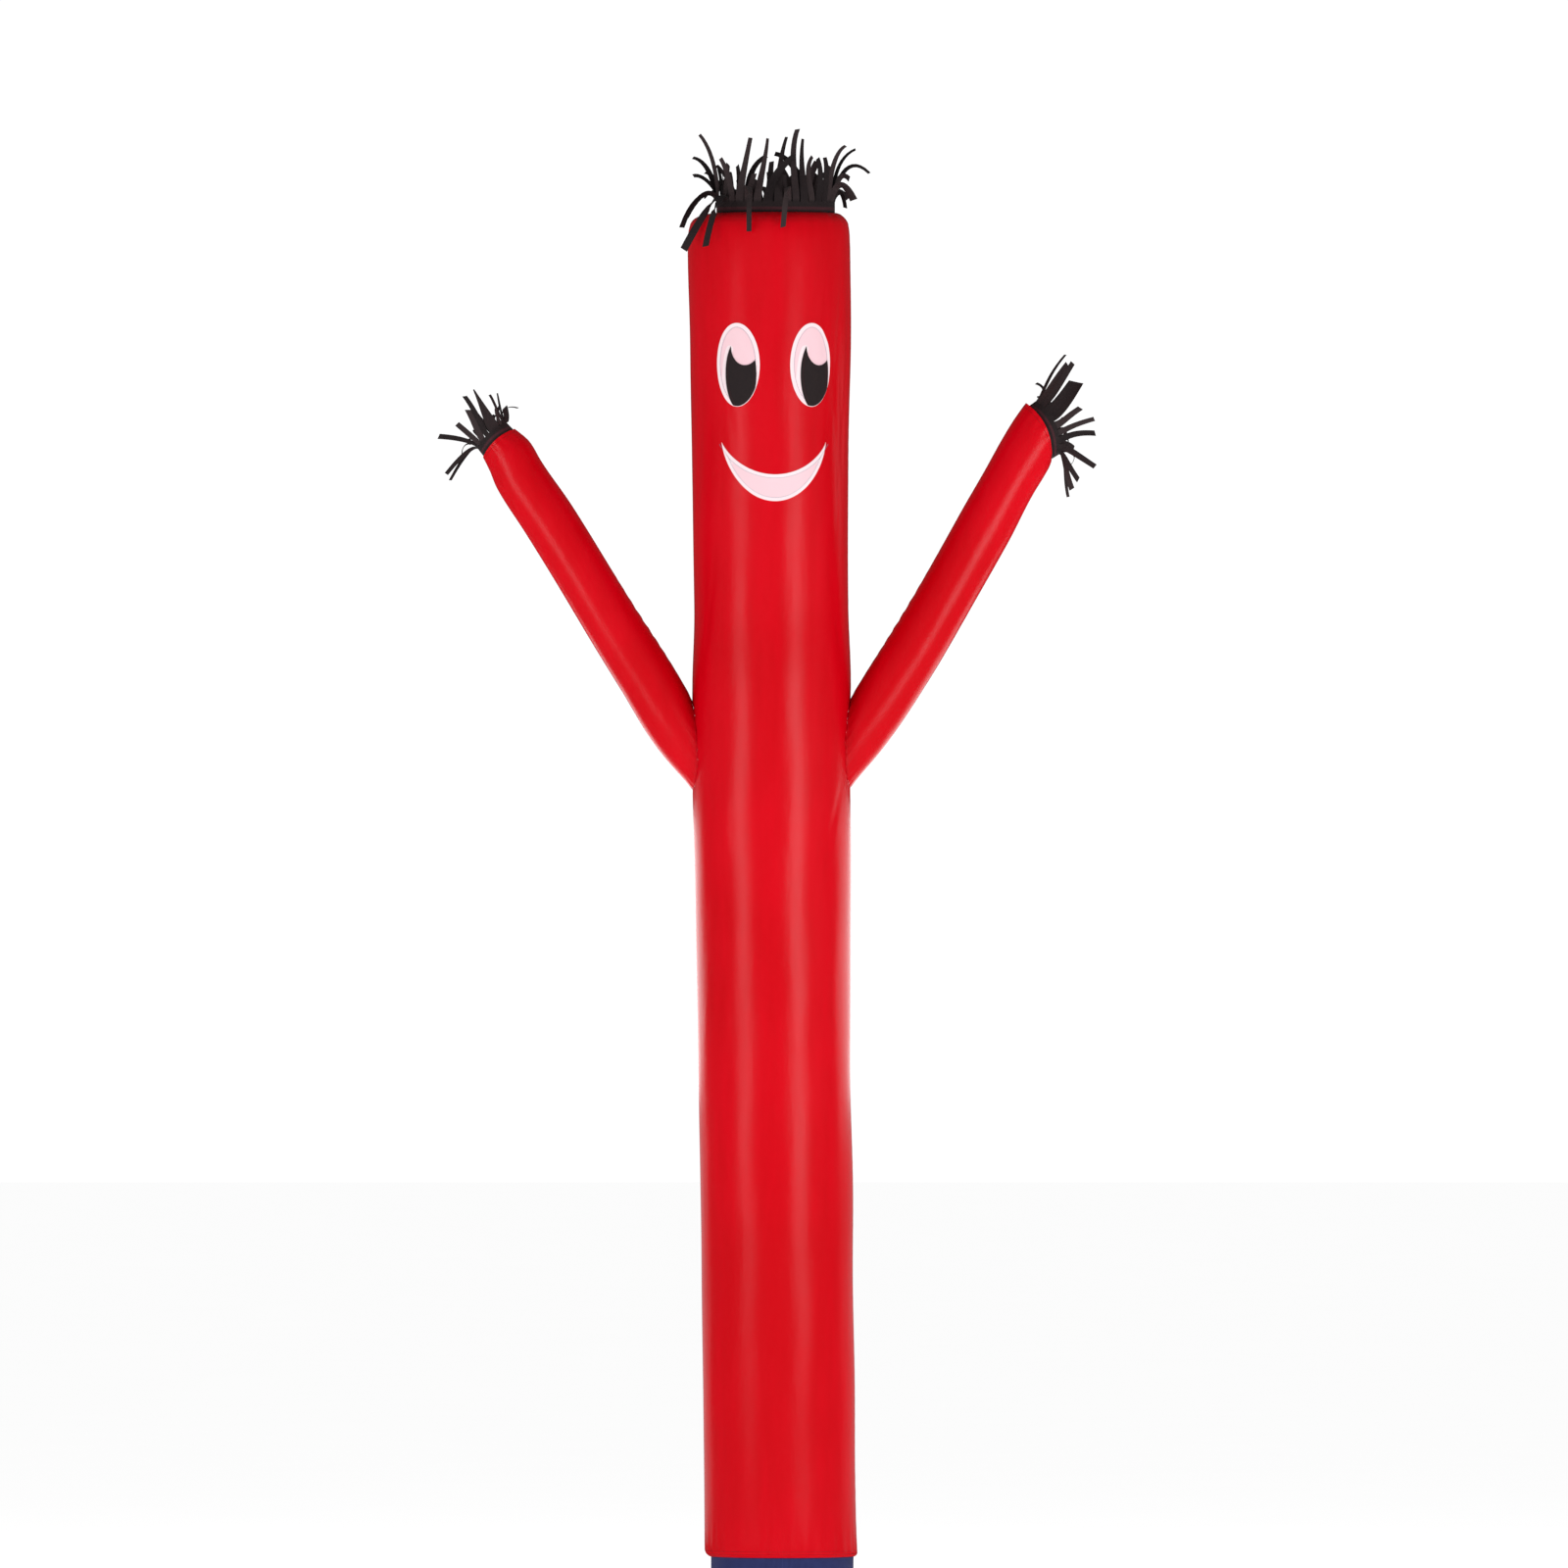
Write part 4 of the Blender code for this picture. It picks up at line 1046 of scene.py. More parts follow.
def samples(strip, ring, band):
    """Points along a strip past its root, by which crossings with other strips are found."""
    rows = strip_rows(strip, own_edges(strip, ring), ring, band, TEST_STEPS)
    points = []
    for (left, right), (next_left, next_right) in zip(rows[1:], rows[2:]):
        for share in (0.0, 0.33, 0.66, 1.0):
            start, end = left.lerp(next_left, share), right.lerp(next_right, share)
            points += [start, start.lerp(end, 0.5), end]
    return points


def point_tree(points):
    tree = KDTree(len(points))
    for place, point in enumerate(points):
        tree.insert(point, place)
    tree.balance()
    return tree


def crosses(points, trees):
    return any(tree.find(point)[2] < CROSSING_ROOM for tree in trees for point in points)


def free_roots(table, loose, size):
    """Where seeded strips can leave the band: the angle in degrees and the width that fits there."""
    if not table:
        count = int(2 * math.pi * size // loose.pitch)
        return [((place + 0.5) * 360 / count - 180, loose.pitch - SLIT) for place in range(count)]
    around = [*table, table[0]._replace(root_deg=table[0].root_deg + 360)]
    roots = []
    for before, after in zip(around, around[1:]):
        start = before.root_deg + math.degrees((before.width / 2 + SLIT) / size)
        end = after.root_deg - math.degrees((after.width / 2 + SLIT) / size)
        room = math.radians(end - start) * size
        count = int((room + SLIT) // loose.pitch)
        for place in range(count):
            roots.append((start + (end - start) * (place + 0.5) / count, room / count - SLIT))
    return roots


def all_strips(table, ring, band, keep_out, loose, trees):
    """The table's strips, and seeded ones in the room that is left; trees hold what they must not cross."""
    chance = random.Random(loose.seed)
    size = (ring.half_width + ring.half_depth) / 2
    table = sorted(table, key=lambda strip: strip.root_deg)
    placed = list(table)
    trees += [point_tree(samples(strip, ring, band)) for strip in table]
    for root_deg, room in free_roots(table, loose, size):
        for _ in range(TRIES):
            strip = loose_strip(root_deg, ring, loose, chance)
            strip = strip._replace(width=min(strip.width, room), tip_width=min(strip.tip_width, room))
            points = samples(strip, ring, band)
            if not any(keep_out(point) for point in points) and not crosses(points, trees):
                placed.append(strip)
                trees.append(point_tree(points))
                break
    turned = [strip._replace(root_deg=(strip.root_deg + 180) % 360 - 180) for strip in placed]
    return sorted(turned, key=lambda strip: strip.root_deg)


# %% What the strips keep clear of
def straight_section(height):
    """Middle and radius of the body, straight between the rows of its table, as the strips were tried."""
    for low, high in zip(BODY, BODY[1:]):
        if height <= high.height:
            break
    share = (height - low.height) / (high.height - low.height)
    return low.middle_x + share * (high.middle_x - low.middle_x), low.radius + share * (high.radius - low.radius)


def in_body(point):
    """Whether a strip here would touch the red cloth of the body or hang out behind it."""
    middle_x, radius = straight_section(min(max(point.z, HEM.height), VENT.height))
    away = math.hypot(point.x - middle_x, point.y)
    beside = point.z < VENT.height + ROOM_ABOVE_HEAD and away < radius + ROOM_BESIDE_HEAD
    return beside or point.y > BACK_REACH


def in_arm(ring):
    """Whether a strip here would reach back over the red end of its arm."""
    return lambda point: (point - ring.middle).dot(ring.normal) < -ROOM_AT_ARM


# %% [markdown]
# Now the cloth itself. A strip has several columns and many rows, because it bends, and the band below it is
# one strip of faces all the way round, so that the fringe stays one piece. Where it is doubled, the two lower
# edges are joined by triangles that go round by angle.

# %% Cutting a fringe
STRIP_STEPS = 14
NARROW_COLUMNS, WIDE_COLUMNS = 4, 8
MOST_CUP, MOST_TURN, MOST_CUT = 0.16, 0.45, 0.5
LOOKS_SEED = 21
BAND_SHADE = 0.3


def habits(count):
    """How each strip curls and how dark it is, from one seed."""
    chance = random.Random(LOOKS_SEED)
    made = []
    for _ in range(count):
        cup = chance.uniform(-MOST_CUP, MOST_CUP)
        turn = chance.uniform(-MOST_TURN, MOST_TURN)
        made.append(Habit(cup, turn, chance.uniform(-MOST_CUT, MOST_CUT), chance.random()))
    return made


def face_between(mesh, layers, corners, shade):
    """A face of the fringe with its place on the flat cloth and its strip's shade."""
    cloth, tone = layers
    face = mesh.faces.new([corner for corner, _ in corners])
    for loop, (corner, place) in zip(face.loops, corners):
        loop[cloth].uv = place
        corner[tone] = shade


def band_and_strips(mesh, layers, layer):
    """One layer of fringe. Returns its lower edge: angles and points, in order round the ring."""
    tops = []
    feet = []
    girth = TURN * (layer.ring.half_width + layer.ring.half_depth) / 2
    manners = habits(len(layer.strips))
    for strip, edges, habit in zip(layer.strips, slit_edges(layer.strips, layer.ring), manners):
        columns = WIDE_COLUMNS if strip.width > WIDE_STRIP else NARROW_COLUMNS
        lines = strip_rows(strip, edges, layer.ring, layer.band, STRIP_STEPS, columns, habit)
        rows = [[mesh.verts.new(point) for point in line] for line in lines]
        along = [0.0]
        for low, high in zip(lines, lines[1:]):
            along.append(along[-1] + (high[columns // 2] - low[columns // 2]).length)
        base = edges[0] / TURN * girth
        for low, high, start, end in zip(rows, rows[1:], along, along[1:]):
            for place in range(columns):
                left, right = (base + strip.width * (place + step) / columns for step in (0, 1))
                corners = (
                    (low[place], (left, start)),
                    (low[place + 1], (right, start)),
                    (high[place + 1], (right, end)),
                    (high[place], (left, end)),
                )
                face_between(mesh, layers, corners, habit.shade)
        for place in range(columns + 1):
            angle = edges[0] + (edges[1] - edges[0]) * place / columns
            tops.append((angle, rows[0][place]))
            feet.append((angle, mesh.verts.new(ring_point(layer.foot_ring, angle))))
    for place in range(len(tops)):
        after = (place + 1) % len(tops)
        left, right = tops[place][0] / TURN * girth, tops[after][0] / TURN * girth
        if after == 0:
            right += girth
        corners = (
            (feet[place][1], (left, -layer.band)),
            (feet[after][1], (right, -layer.band)),
            (tops[after][1], (right, 0)),
            (tops[place][1], (left, 0)),
        )
        face_between(mesh, layers, corners, BAND_SHADE)
    return feet


def join_feet(mesh, outer, inner):
    """Closes the fold between the lower edges of two layers with triangles, going round by angle."""
    last = [outer[-1][1], inner[-1][1]]
    feet = [(angle, layer, foot) for layer, edge in enumerate((outer, inner)) for angle, foot in edge]
    for _, layer, foot in sorted(feet, key=lambda item: item[:2]):
        mesh.faces.new((last[0], last[1], foot))
        last[layer] = foot


def fringe(name, fringe_layers):
    """A band of black cloth tucked inside the red edge and cut into strips, as one sheet."""
    mesh = bmesh.new()
    layers = mesh.loops.layers.uv.new("cloth"), mesh.verts.layers.float.new("shade")
    up_the_band = mesh.verts.layers.float.new("up_the_band")
    feet = [band_and_strips(mesh, layers, layer) for layer in fringe_layers]
    for corner in mesh.verts:
        corner[up_the_band] = 1
    for _, foot in feet[0]:
        foot[up_the_band] = 0
    ring = fringe_layers[0].ring
    band_face = feet[0][0][1].link_faces[0]
    if len(feet) == 2:
        join_feet(mesh, *feet)
    bmesh.ops.recalc_face_normals(mesh, faces=mesh.faces[:])
    if band_face.normal.dot(band_face.calc_center_median() - ring.middle) < 0:
        bmesh.ops.reverse_faces(mesh, faces=mesh.faces[:])
    area = sum(face.calc_area() for face in mesh.faces)
    piece = shown(name, mesh)
    wall(piece, STRIP_CLOTH)
    return dressed(settled(piece), CLOTHS["black_cloth"]), area


# %% The hair
def narrower(ring, inset):
    return ring._replace(half_width=ring.half_width - inset, half_depth=ring.half_depth - inset)


def head_layers():
    """The hair: its band leaves the head just inside the vent, with the doubled layer behind it."""
    radius = VENT.radius - VENT_INSET
    ring = Ring(Vector((VENT.middle_x, 0, VENT.height)), ACROSS, FRONT, UP, radius, radius, 0)
    layers = []
    trees = []
    for inset, table, loose in ((0, HEAD_STRIPS, HEAD_LOOSE), (LAYERS_APART, [], INNER_LOOSE)):
        top = narrower(ring, inset)
        strips = all_strips(table, top, HEAD_BAND, in_body, loose, trees)
        foot = top._replace(middle=top.middle - UP * TUCK)
        layers.append(Layer(strips, top, foot, HEAD_BAND))
    return layers


hair, hair_area = fringe("hair_strips", head_layers())
print("The hair's cloth is", round(hair_area, 4), "square metres")


# %% The hands
def hand_layer(table, side, slant, strips, loose):
    """A hand's fringe: its band leaves the arm just inside the red edge and follows the arm's taper."""
    ends = arm_ring(table[-1], side), arm_ring(table[-2], side)
    flat_sides = ends[0].half_width * (1 - math.cos(math.pi / SOLID_ARM_SIDES))
    share = HAND_TUCK / (ends[0].middle - ends[1].middle).length
    foot = Ring(*(end + (start - end) * share for end, start in zip(*ends)))
    inset = slant * (SOLID_CLOTH + GAP) + flat_sides
    ring, foot = (narrower(line, inset) for line in (ends[0], foot))
    return Layer(all_strips(strips, ring, HAND_BAND, in_arm(ring), loose, []), ring, foot, HAND_BAND)


hands = {}
hand_areas = {}
for side_name, *arm_end in (
    ("right", RIGHT_ARM, 1, RIGHT_SLANT, RIGHT_HAND_STRIPS, RIGHT_LOOSE),
    ("left", LEFT_ARM, -1, LEFT_SLANT, LEFT_HAND_STRIPS, LEFT_LOOSE),
):
    hands[side_name], hand_areas[side_name] = fringe(f"hand_strips_{side_name}", [hand_layer(*arm_end)])
print("The hands' cloth, in square metres:", hand_areas)

# %% [markdown]
# ## The face
#
# A seamstress draws the eyes and the smile on flat cloth, cuts them out and sews them on. The same is done
# here: outlines from formulas become flat slabs, a Boolean takes the bite for the glint out of each pupil, the
# slab is sliced into a grid of small cells, and every point is then laid round the body. Because it is laid by
# the body's own function, the cloth follows each wave and keeps the same small gap to the red.

# %% The face's sizes
FACE_TURN_DEG = 3.5
EYE_HEIGHT = 2.5523
EYE_APART = 0.0815
EYE_HALF = (0.0495, 0.0878)
STITCH_INSET = 0.0013
PUPIL_MIDDLE = (0.0080, -0.0200)
PUPIL_HALF = (0.0345, 0.0750)
GLINT_MIDDLE = (0.0180, 0.0390)
GLINT_HALF = (0.0315, 0.0400)
SMILE_HEIGHT = 2.3900
SMILE_HALF_WIDTH = 0.1191
SMILE_UPPER_SAG = 0.0676
SMILE_LOWER_SAG = 0.1236
SMILE_UPPER_ROUND = 0.85
SMILE_LOWER_ROUND = 0.70
OUTLINE_POINTS = 120
FACE_CLOTH = 0.0010
CELL = 0.0048
PUPIL_SHADE = 0.35
SPIKE_TOP = 0.034
SHARP = math.radians(60)
EDGE_SPACING = 0.0008


def oval(middle, half):
    angles = turns(OUTLINE_POINTS)
    return [(middle[0] + half[0] * math.cos(turn), middle[1] + half[1] * math.sin(turn)) for turn in angles]


def crescent():
    """The smile: one long sagging curve from corner to corner, and a shallower one back."""
    steps = OUTLINE_POINTS // 2
    across = [-math.cos(math.pi * step / steps) for step in range(steps + 1)]
    lower = [(x, -SMILE_LOWER_SAG * (1 - x * x) ** SMILE_LOWER_ROUND) for x in across]
    upper = [(x, -SMILE_UPPER_SAG * (1 - x * x) ** SMILE_UPPER_ROUND) for x in reversed(across[1:-1])]
    return [(SMILE_HALF_WIDTH * x, z) for x, z in lower + upper]


# %% Cutting cloth flat
def slab(name, outline, low=0.0, high=FACE_CLOTH):
    """A flat piece of cloth: x across, y through its thickness and z up."""
    mesh = bmesh.new()
    face = mesh.faces.new([mesh.verts.new((x, low, z)) for x, z in outline])
    far = bmesh.ops.extrude_face_region(mesh, geom=[face])["geom"]
    moved = [item for item in far if isinstance(item, bmesh.types.BMVert)]
    bmesh.ops.translate(mesh, verts=moved, vec=(0, high - low, 0))
    bmesh.ops.recalc_face_normals(mesh, faces=mesh.faces[:])
    return shown(name, mesh)


def cut_out(name, outline, others=()):
    """A slab after other outlines have been cut out of it or have limited it."""
    piece = slab(name, outline)
    cutters = []
    for place, (points, operation) in enumerate(others):
        cutters.append(slab(f"cutter_{place}", points, -FACE_CLOTH, 2 * FACE_CLOTH))
        boolean(piece, cutters[-1], operation)
    piece = settled(piece, Vector())
    for cutter in cutters:
        bpy.data.objects.remove(cutter)
    return piece


def edge_tree(mesh, border):
    """The cut edge of a flat piece as closely set points, to measure each point's distance from it."""
    points = [Vector((x, 0, z)) for x, z in border]
    for edge in mesh.edges:
        start, end = (vert.co for vert in edge.verts)
        on_face = all(abs(vert.co.y) < FACE_CLOTH / 4 for vert in edge.verts)
        if on_face and edge.calc_face_angle(0) > SHARP:
            count = max(1, round((end - start).length / EDGE_SPACING))
            points += [start.lerp(end, step / count) for step in range(count)]
    return point_tree(points)


# %% Slicing it and laying it on
def sliced(mesh):
    """Cuts the flat piece into cells, so that it can follow a curve."""
    for axis in (0, 2):
        values = [vert.co[axis] for vert in mesh.verts]
        first, last = math.floor(min(values) / CELL), math.ceil(max(values) / CELL)
        normal = ACROSS if axis == 0 else UP
        for step in range(first, last + 1):
            everything = mesh.verts[:] + mesh.edges[:] + mesh.faces[:]
            place = normal * step * CELL
            bmesh.ops.bisect_plane(mesh, geom=everything, plane_co=place, plane_no=normal, dist=1e-6)
    bmesh.ops.triangulate(mesh, faces=[face for face in mesh.faces if len(face.verts) > 4])


def laid(piece, turn, height, layer, cloth, border=()):
    """Lays a flat piece round the body; layer 0 lies on the red cloth, layer 1 on layer 0."""
    radius = body_section(height)[1]
    mesh = bmesh.new()
    mesh.from_mesh(piece.data)
    tree = edge_tree(mesh, border)
    sliced(mesh)
    place = mesh.loops.layers.uv.new("cloth")
    from_edge = mesh.verts.layers.float.new("from_edge")
    shade = mesh.verts.layers.float.new("shade")
    for vert in mesh.verts:
        vert[from_edge] = tree.find(Vector((vert.co.x, 0, vert.co.z)))[2]
        vert[shade] = PUPIL_SHADE
    for face in mesh.faces:
        for loop in face.loops:
            loop[place].uv = (loop.vert.co.x, loop.vert.co.z)
    for vert in mesh.verts:
        lift = GAP + layer * (FACE_CLOTH + GAP) + vert.co.y
        vert.co = body_point(turn + vert.co.x / radius, height + vert.co.z, lift)
    bmesh.ops.recalc_face_normals(mesh, faces=mesh.faces[:])
    name = piece.name
    bpy.data.objects.remove(piece)
    return dressed(settled(shown(name, mesh)), cloth)


def eye_turn(side):
    return math.radians(FACE_TURN_DEG) + side * EYE_APART / body_section(EYE_HEIGHT)[1]


# %% Eyes, pupils and smile
inner_eye = oval((0, 0), [half - STITCH_INSET for half in EYE_HALF])
under_pupil = [(x, z) for x, z in oval(PUPIL_MIDDLE, PUPIL_HALF) if x < PUPIL_MIDDLE[0] and z < SPIKE_TOP]
whites = {}
pupils = {}
for side_name, side in (("right", 1), ("left", -1)):
    white = cut_out(f"eye_cloth_{side_name}", oval((0, 0), EYE_HALF))
    whites[side_name] = laid(white, eye_turn(side), EYE_HEIGHT, 0, CLOTHS["white_cloth"], under_pupil)
    shapes = ((inner_eye, "INTERSECT"), (oval(GLINT_MIDDLE, GLINT_HALF), "DIFFERENCE"))
    pupil = cut_out(f"pupil_cloth_{side_name}", oval(PUPIL_MIDDLE, PUPIL_HALF), shapes)
    pupils[side_name] = laid(pupil, eye_turn(side), EYE_HEIGHT, 1, CLOTHS["black_cloth"])
smile = cut_out("smile_cloth", crescent())
smile = laid(smile, math.radians(FACE_TURN_DEG), SMILE_HEIGHT, 0, CLOTHS["white_cloth"])

# %% [markdown]
# ## Stitches
#
# Sewing repeats one small stitch along a line, which is what Geometry Nodes do best: the line is resampled at
# the stitch's pitch, one short bead of thread is put at each point along the line's direction, and the copies
# are made real. One tree serves every seam, with its pitch, length, thickness and thread as inputs.

# %% A tree that sews
def stitch_tree():
    tree = bpy.data.node_groups.new("sewing", "GeometryNodeTree")
    face = tree.interface
    face.new_socket("Geometry", in_out="INPUT", socket_type="NodeSocketGeometry")
    for name in ("Pitch", "Length", "Thickness"):
        face.new_socket(name, in_out="INPUT", socket_type="NodeSocketFloat")
    face.new_socket("Thread", in_out="INPUT", socket_type="NodeSocketMaterial")
    face.new_socket("Geometry", in_out="OUTPUT", socket_type="NodeSocketGeometry")
    nodes, links = tree.nodes, tree.links
    start, end = nodes.new("NodeGroupInput"), nodes.new("NodeGroupOutput")
    line = nodes.new("GeometryNodeMeshToCurve")
    spaced = nodes.new("GeometryNodeResampleCurve")
    spaced.mode = "LENGTH"
    bead = nodes.new("GeometryNodeMeshUVSphere")
    bead.inputs["Segments"].default_value = 6
    bead.inputs["Rings"].default_value = 4
    bead.inputs["Radius"].default_value = 0.5
    tangent = nodes.new("GeometryNodeInputTangent")
    facing = nodes.new("FunctionNodeAlignRotationToVector")
    facing.axis = "Z"
    size = nodes.new("ShaderNodeCombineXYZ")
    copies = nodes.new("GeometryNodeInstanceOnPoints")
    real = nodes.new("GeometryNodeRealizeInstances")
    thread_on = nodes.new("GeometryNodeSetMaterial")
    for one, output, other, socket in (
        (start, "Geometry", line, "Mesh"),
        (line, "Curve", spaced, "Curve"),
        (start, "Pitch", spaced, "Length"),
        (spaced, "Curve", copies, "Points"),
        (bead, "Mesh", copies, "Instance"),
        (tangent, "Tangent", facing, "Vector"),
        (facing, "Rotation", copies, "Rotation"),
        (start, "Thickness", size, "X"),
        (start, "Thickness", size, "Y"),
        (start, "Length", size, "Z"),
        (size, "Vector", copies, "Scale"),
        (copies, "Instances", real, "Geometry"),
        (real, "Geometry", thread_on, "Geometry"),
        (start, "Thread", thread_on, "Material"),
        (thread_on, "Geometry", end, "Geometry"),
    ):
        links.new(one.outputs[output], other.inputs[socket])
    return tree


SEWING = stitch_tree()


def sewn(name, lines, thread_name, pitch=0.0036, length=0.0027, thickness=0.0007):
    """Stitches along lines; each line is a list of points and whether it closes on itself."""
    mesh = bmesh.new()
    for points, closed in lines:
        verts = [mesh.verts.new(point) for point in points]
        ends = zip(verts, verts[1:] + verts[:1]) if closed else zip(verts, verts[1:])
        for two in ends:
            mesh.edges.new(two)
    data = bpy.data.meshes.new(name)
    mesh.to_mesh(data)
    mesh.free()
    piece = linked(name, data)
    sewing = piece.modifiers.new("sewing", "NODES")
    sewing.node_group = SEWING
    values = {"Pitch": pitch, "Length": length, "Thickness": thickness, "Thread": THREADS[thread_name]}
    for item in SEWING.interface.items_tree:
        if item.in_out == "INPUT" and item.name in values:
            sewing[item.identifier] = values[item.name]
    piece = settled(piece)
    piece.data.shade_smooth()
    print(name, "has", len(piece.data.polygons), "faces")
    return piece


# %% [markdown]
# The lines themselves come from the same functions as the cloth. Round an eye the line keeps a constant
# distance inside the outline; along the pupil and the smile it does too. The tube's seam has two rows of
# stitches, and each arm's seam follows the line that was found at the start.

# %% Lines on the face
EYE_STITCH_IN = 0.0088
PUPIL_STITCH_IN = 0.0055
SMILE_STITCH_IN = 0.0075
KEPT_INSET = 0.93
LINE_BREAK = 0.02


def inset_line(outline, inset, allowed=lambda x, z: True):
    """Points at a constant distance inside a closed outline that runs anticlockwise, without loops."""
    count = len(outline)
    kept = []
    rim = point_tree([Vector((x, 0, z)) for x, z in outline])
    for place, (x, z) in enumerate(outline):
        before, after = outline[place - 1], outline[(place + 1) % count]
        along = Vector((after[0] - before[0], 0, after[1] - before[1])).normalized()
        point = Vector((x - along.z * inset, 0, z + along.x * inset))
        if rim.find(point)[2] > inset * KEPT_INSET and allowed(point.x, point.z):
            kept.append((point.x, point.z))
    return kept


def on_face(flat, turn, height, lift):
    radius = body_section(height)[1]
    return [body_point(turn + x / radius, height + z, lift) for x, z in flat]


def outside(middle, half):
    """A test of whether a flat point lies outside an oval."""
    return lambda x, z: ((x - middle[0]) / half[0]) ** 2 + ((z - middle[1]) / half[1]) ** 2 > 1


def split_runs(points, longest):
    """Cuts a line where neighbouring points are far apart."""
    runs = [[points[0]]]
    for before, after in zip(points, points[1:]):
        if math.dist(before, after) > longest:
            runs.append([])
        runs[-1].append(after)
    return [run for run in runs if len(run) > 2]


on_white = GAP + FACE_CLOTH + 0.0001
white_lines = []
pupil_lines = []
in_pupil = outside(GLINT_MIDDLE, [half + PUPIL_STITCH_IN for half in GLINT_HALF])
for side in (1, -1):
    ring_line = inset_line(oval((0, 0), EYE_HALF), EYE_STITCH_IN, outside(PUPIL_MIDDLE, PUPIL_HALF))
    for run in split_runs(ring_line, LINE_BREAK):
        white_lines.append((on_face(run, eye_turn(side), EYE_HEIGHT, on_white), False))
    limits = [half - STITCH_INSET - PUPIL_STITCH_IN * 0.6 for half in EYE_HALF]
    beyond = outside((0, 0), limits)
    pupil_line = inset_line(
        oval(PUPIL_MIDDLE, PUPIL_HALF), PUPIL_STITCH_IN, lambda x, z: in_pupil(x, z) and not beyond(x, z)
    )
    for run in split_runs(pupil_line, LINE_BREAK):
        pupil_lines.append((on_face(run, eye_turn(side), EYE_HEIGHT, on_white + GAP + FACE_CLOTH), False))
smile_line = inset_line(crescent(), SMILE_STITCH_IN)
face_middle = math.radians(FACE_TURN_DEG)
white_lines.append((on_face(smile_line, face_middle, SMILE_HEIGHT, on_white), True))
face_stitches = sewn("face_stitches", white_lines, "violet", thickness=0.0011)
pupil_stitches = sewn("pupil_stitches", pupil_lines, "maroon")

# %% Lines round the body and the arms
SEAM_ROWS_APART = 0.007
HEM_ROWS = (0.0565, 0.0625)
ARM_SEAM_IN = 0.004
SEAM_LIFT = 0.0001
SEAM_ENDS_IN = 0.004


def round_body(height):
    return body_ring(height, SEAM_LIFT), True


def down_body(turn):
    ends = HEM.height + SEAM_ENDS_IN, VENT.height - SEAM_ENDS_IN
    levels = [level for level in heights if ends[0] < level < ends[1]]
    return [body_point(turn, level, SEAM_LIFT) for level in levels], False


def round_arm(sleeve, from_seam):
    """A line on the arm's cloth at this distance from its seam."""
    points = []
    for angle, seam in zip(turns(SEAM_POINTS), SEAMS[sleeve.name][0]):
        place = seam + from_seam
        points.append(ring_point(ring_at(sleeve, place), angle, arm_relief(sleeve, angle, place) + SEAM_LIFT))
    return points, True


long_seam_turn = math.radians(LONG_SEAM_DEG)
apart = SEAM_ROWS_APART / 2 / body_section(GIRTH_HEIGHT)[1]
seam_lines = [down_body(long_seam_turn - apart), down_body(long_seam_turn + apart)]
seam_lines += [round_arm(sleeve, ARM_SEAM_IN) for sleeve in SLEEVES]
seam_stitches = sewn("seam_stitches", seam_lines, "red")
hem_stitches = sewn("hem_stitches", [round_body(height) for height in HEM_ROWS], "maroon")


# %% Lines where the fringes are held
def round_end(sleeve, from_edge):
    place = sleeve.long - from_edge
    ring = ring_at(sleeve, place)
    reliefs = [(turn, arm_relief(sleeve, turn, place) + SEAM_LIFT) for turn in turns(ARM_SIDES)]
    return [ring_point(ring, turn, relief) for turn, relief in reliefs], True


VENT_STITCH_HEIGHT = 2.8690
HAND_STITCH_IN = 0.006
fringe_lines = [round_body(VENT_STITCH_HEIGHT)] + [round_end(sleeve, HAND_STITCH_IN) for sleeve in SLEEVES]
fringe_stitches = sewn("fringe_stitches", fringe_lines, "maroon")

# %% [markdown]
# ## What each piece stands for
#
# Every cloth piece takes the place of the solid that kept its room and rides on the one body. The arms, the body,
# the hand fringes, the pupils and the smile print the size that they were cut to. The flat sizes follow from the
# shapes: a tube's cloth is as wide as the tube is round, the fringes' areas were summed before they got their
# thickness, and the pupils' and the smile's areas are summed from their cloth maps.

# %% Riding, replacing and flat sizes
def stands_for(piece, node):
    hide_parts(node)
    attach(piece, "root")


body_girth = TURN * body_section(GIRTH_HEIGHT)[1]
body_length = VENT.height - HEM.height + (body_section(HEAD_EDGE_HEIGHT)[1] - VENT.radius)
stands_for(body_tube, "body_tube")
for sleeve in SLEEVES:
    places = SEAMS[sleeve.name][0]
    shown_long = sleeve.long - sum(places) / len(places)
    girth = TURN * (sleeve.table[5].half_width + sleeve.table[5].half_depth) / 2
    stands_for(arms[sleeve.name], f"arm_{sleeve.name}")
    print("Arm", sleeve.name, "was cut", round(girth, 3), "by", round(shown_long, 3))
stands_for(cuff, "base_cuff")
TURN * cuff_radius
print("Body was cut", round(body_girth, 3), "by", round(body_length, 3))

# %% Fringes and face
LONG_HAIR, LONG_HAND = 0.125, 0.100
hair_wide = 2 * TURN * VENT.radius
stands_for(hair, "hair_fringe")
for sleeve in SLEEVES:
    hand = hands[sleeve.name]
    wide = TURN * (sleeve.table[-1].half_width + sleeve.table[-1].half_depth) / 2
    long = HAND_BAND + HAND_TUCK + LONG_HAND
    stands_for(hand, f"hand_fringe_{sleeve.name}")
    area = min(hand_areas[sleeve.name], wide * long)
    print("Hand fringe", sleeve.name, "was cut", round(wide, 3), "by", round(long, 3), "area", round(area, 4))

for side_name in ("right", "left"):
    stands_for(whites[side_name], f"eye_white_{side_name}")


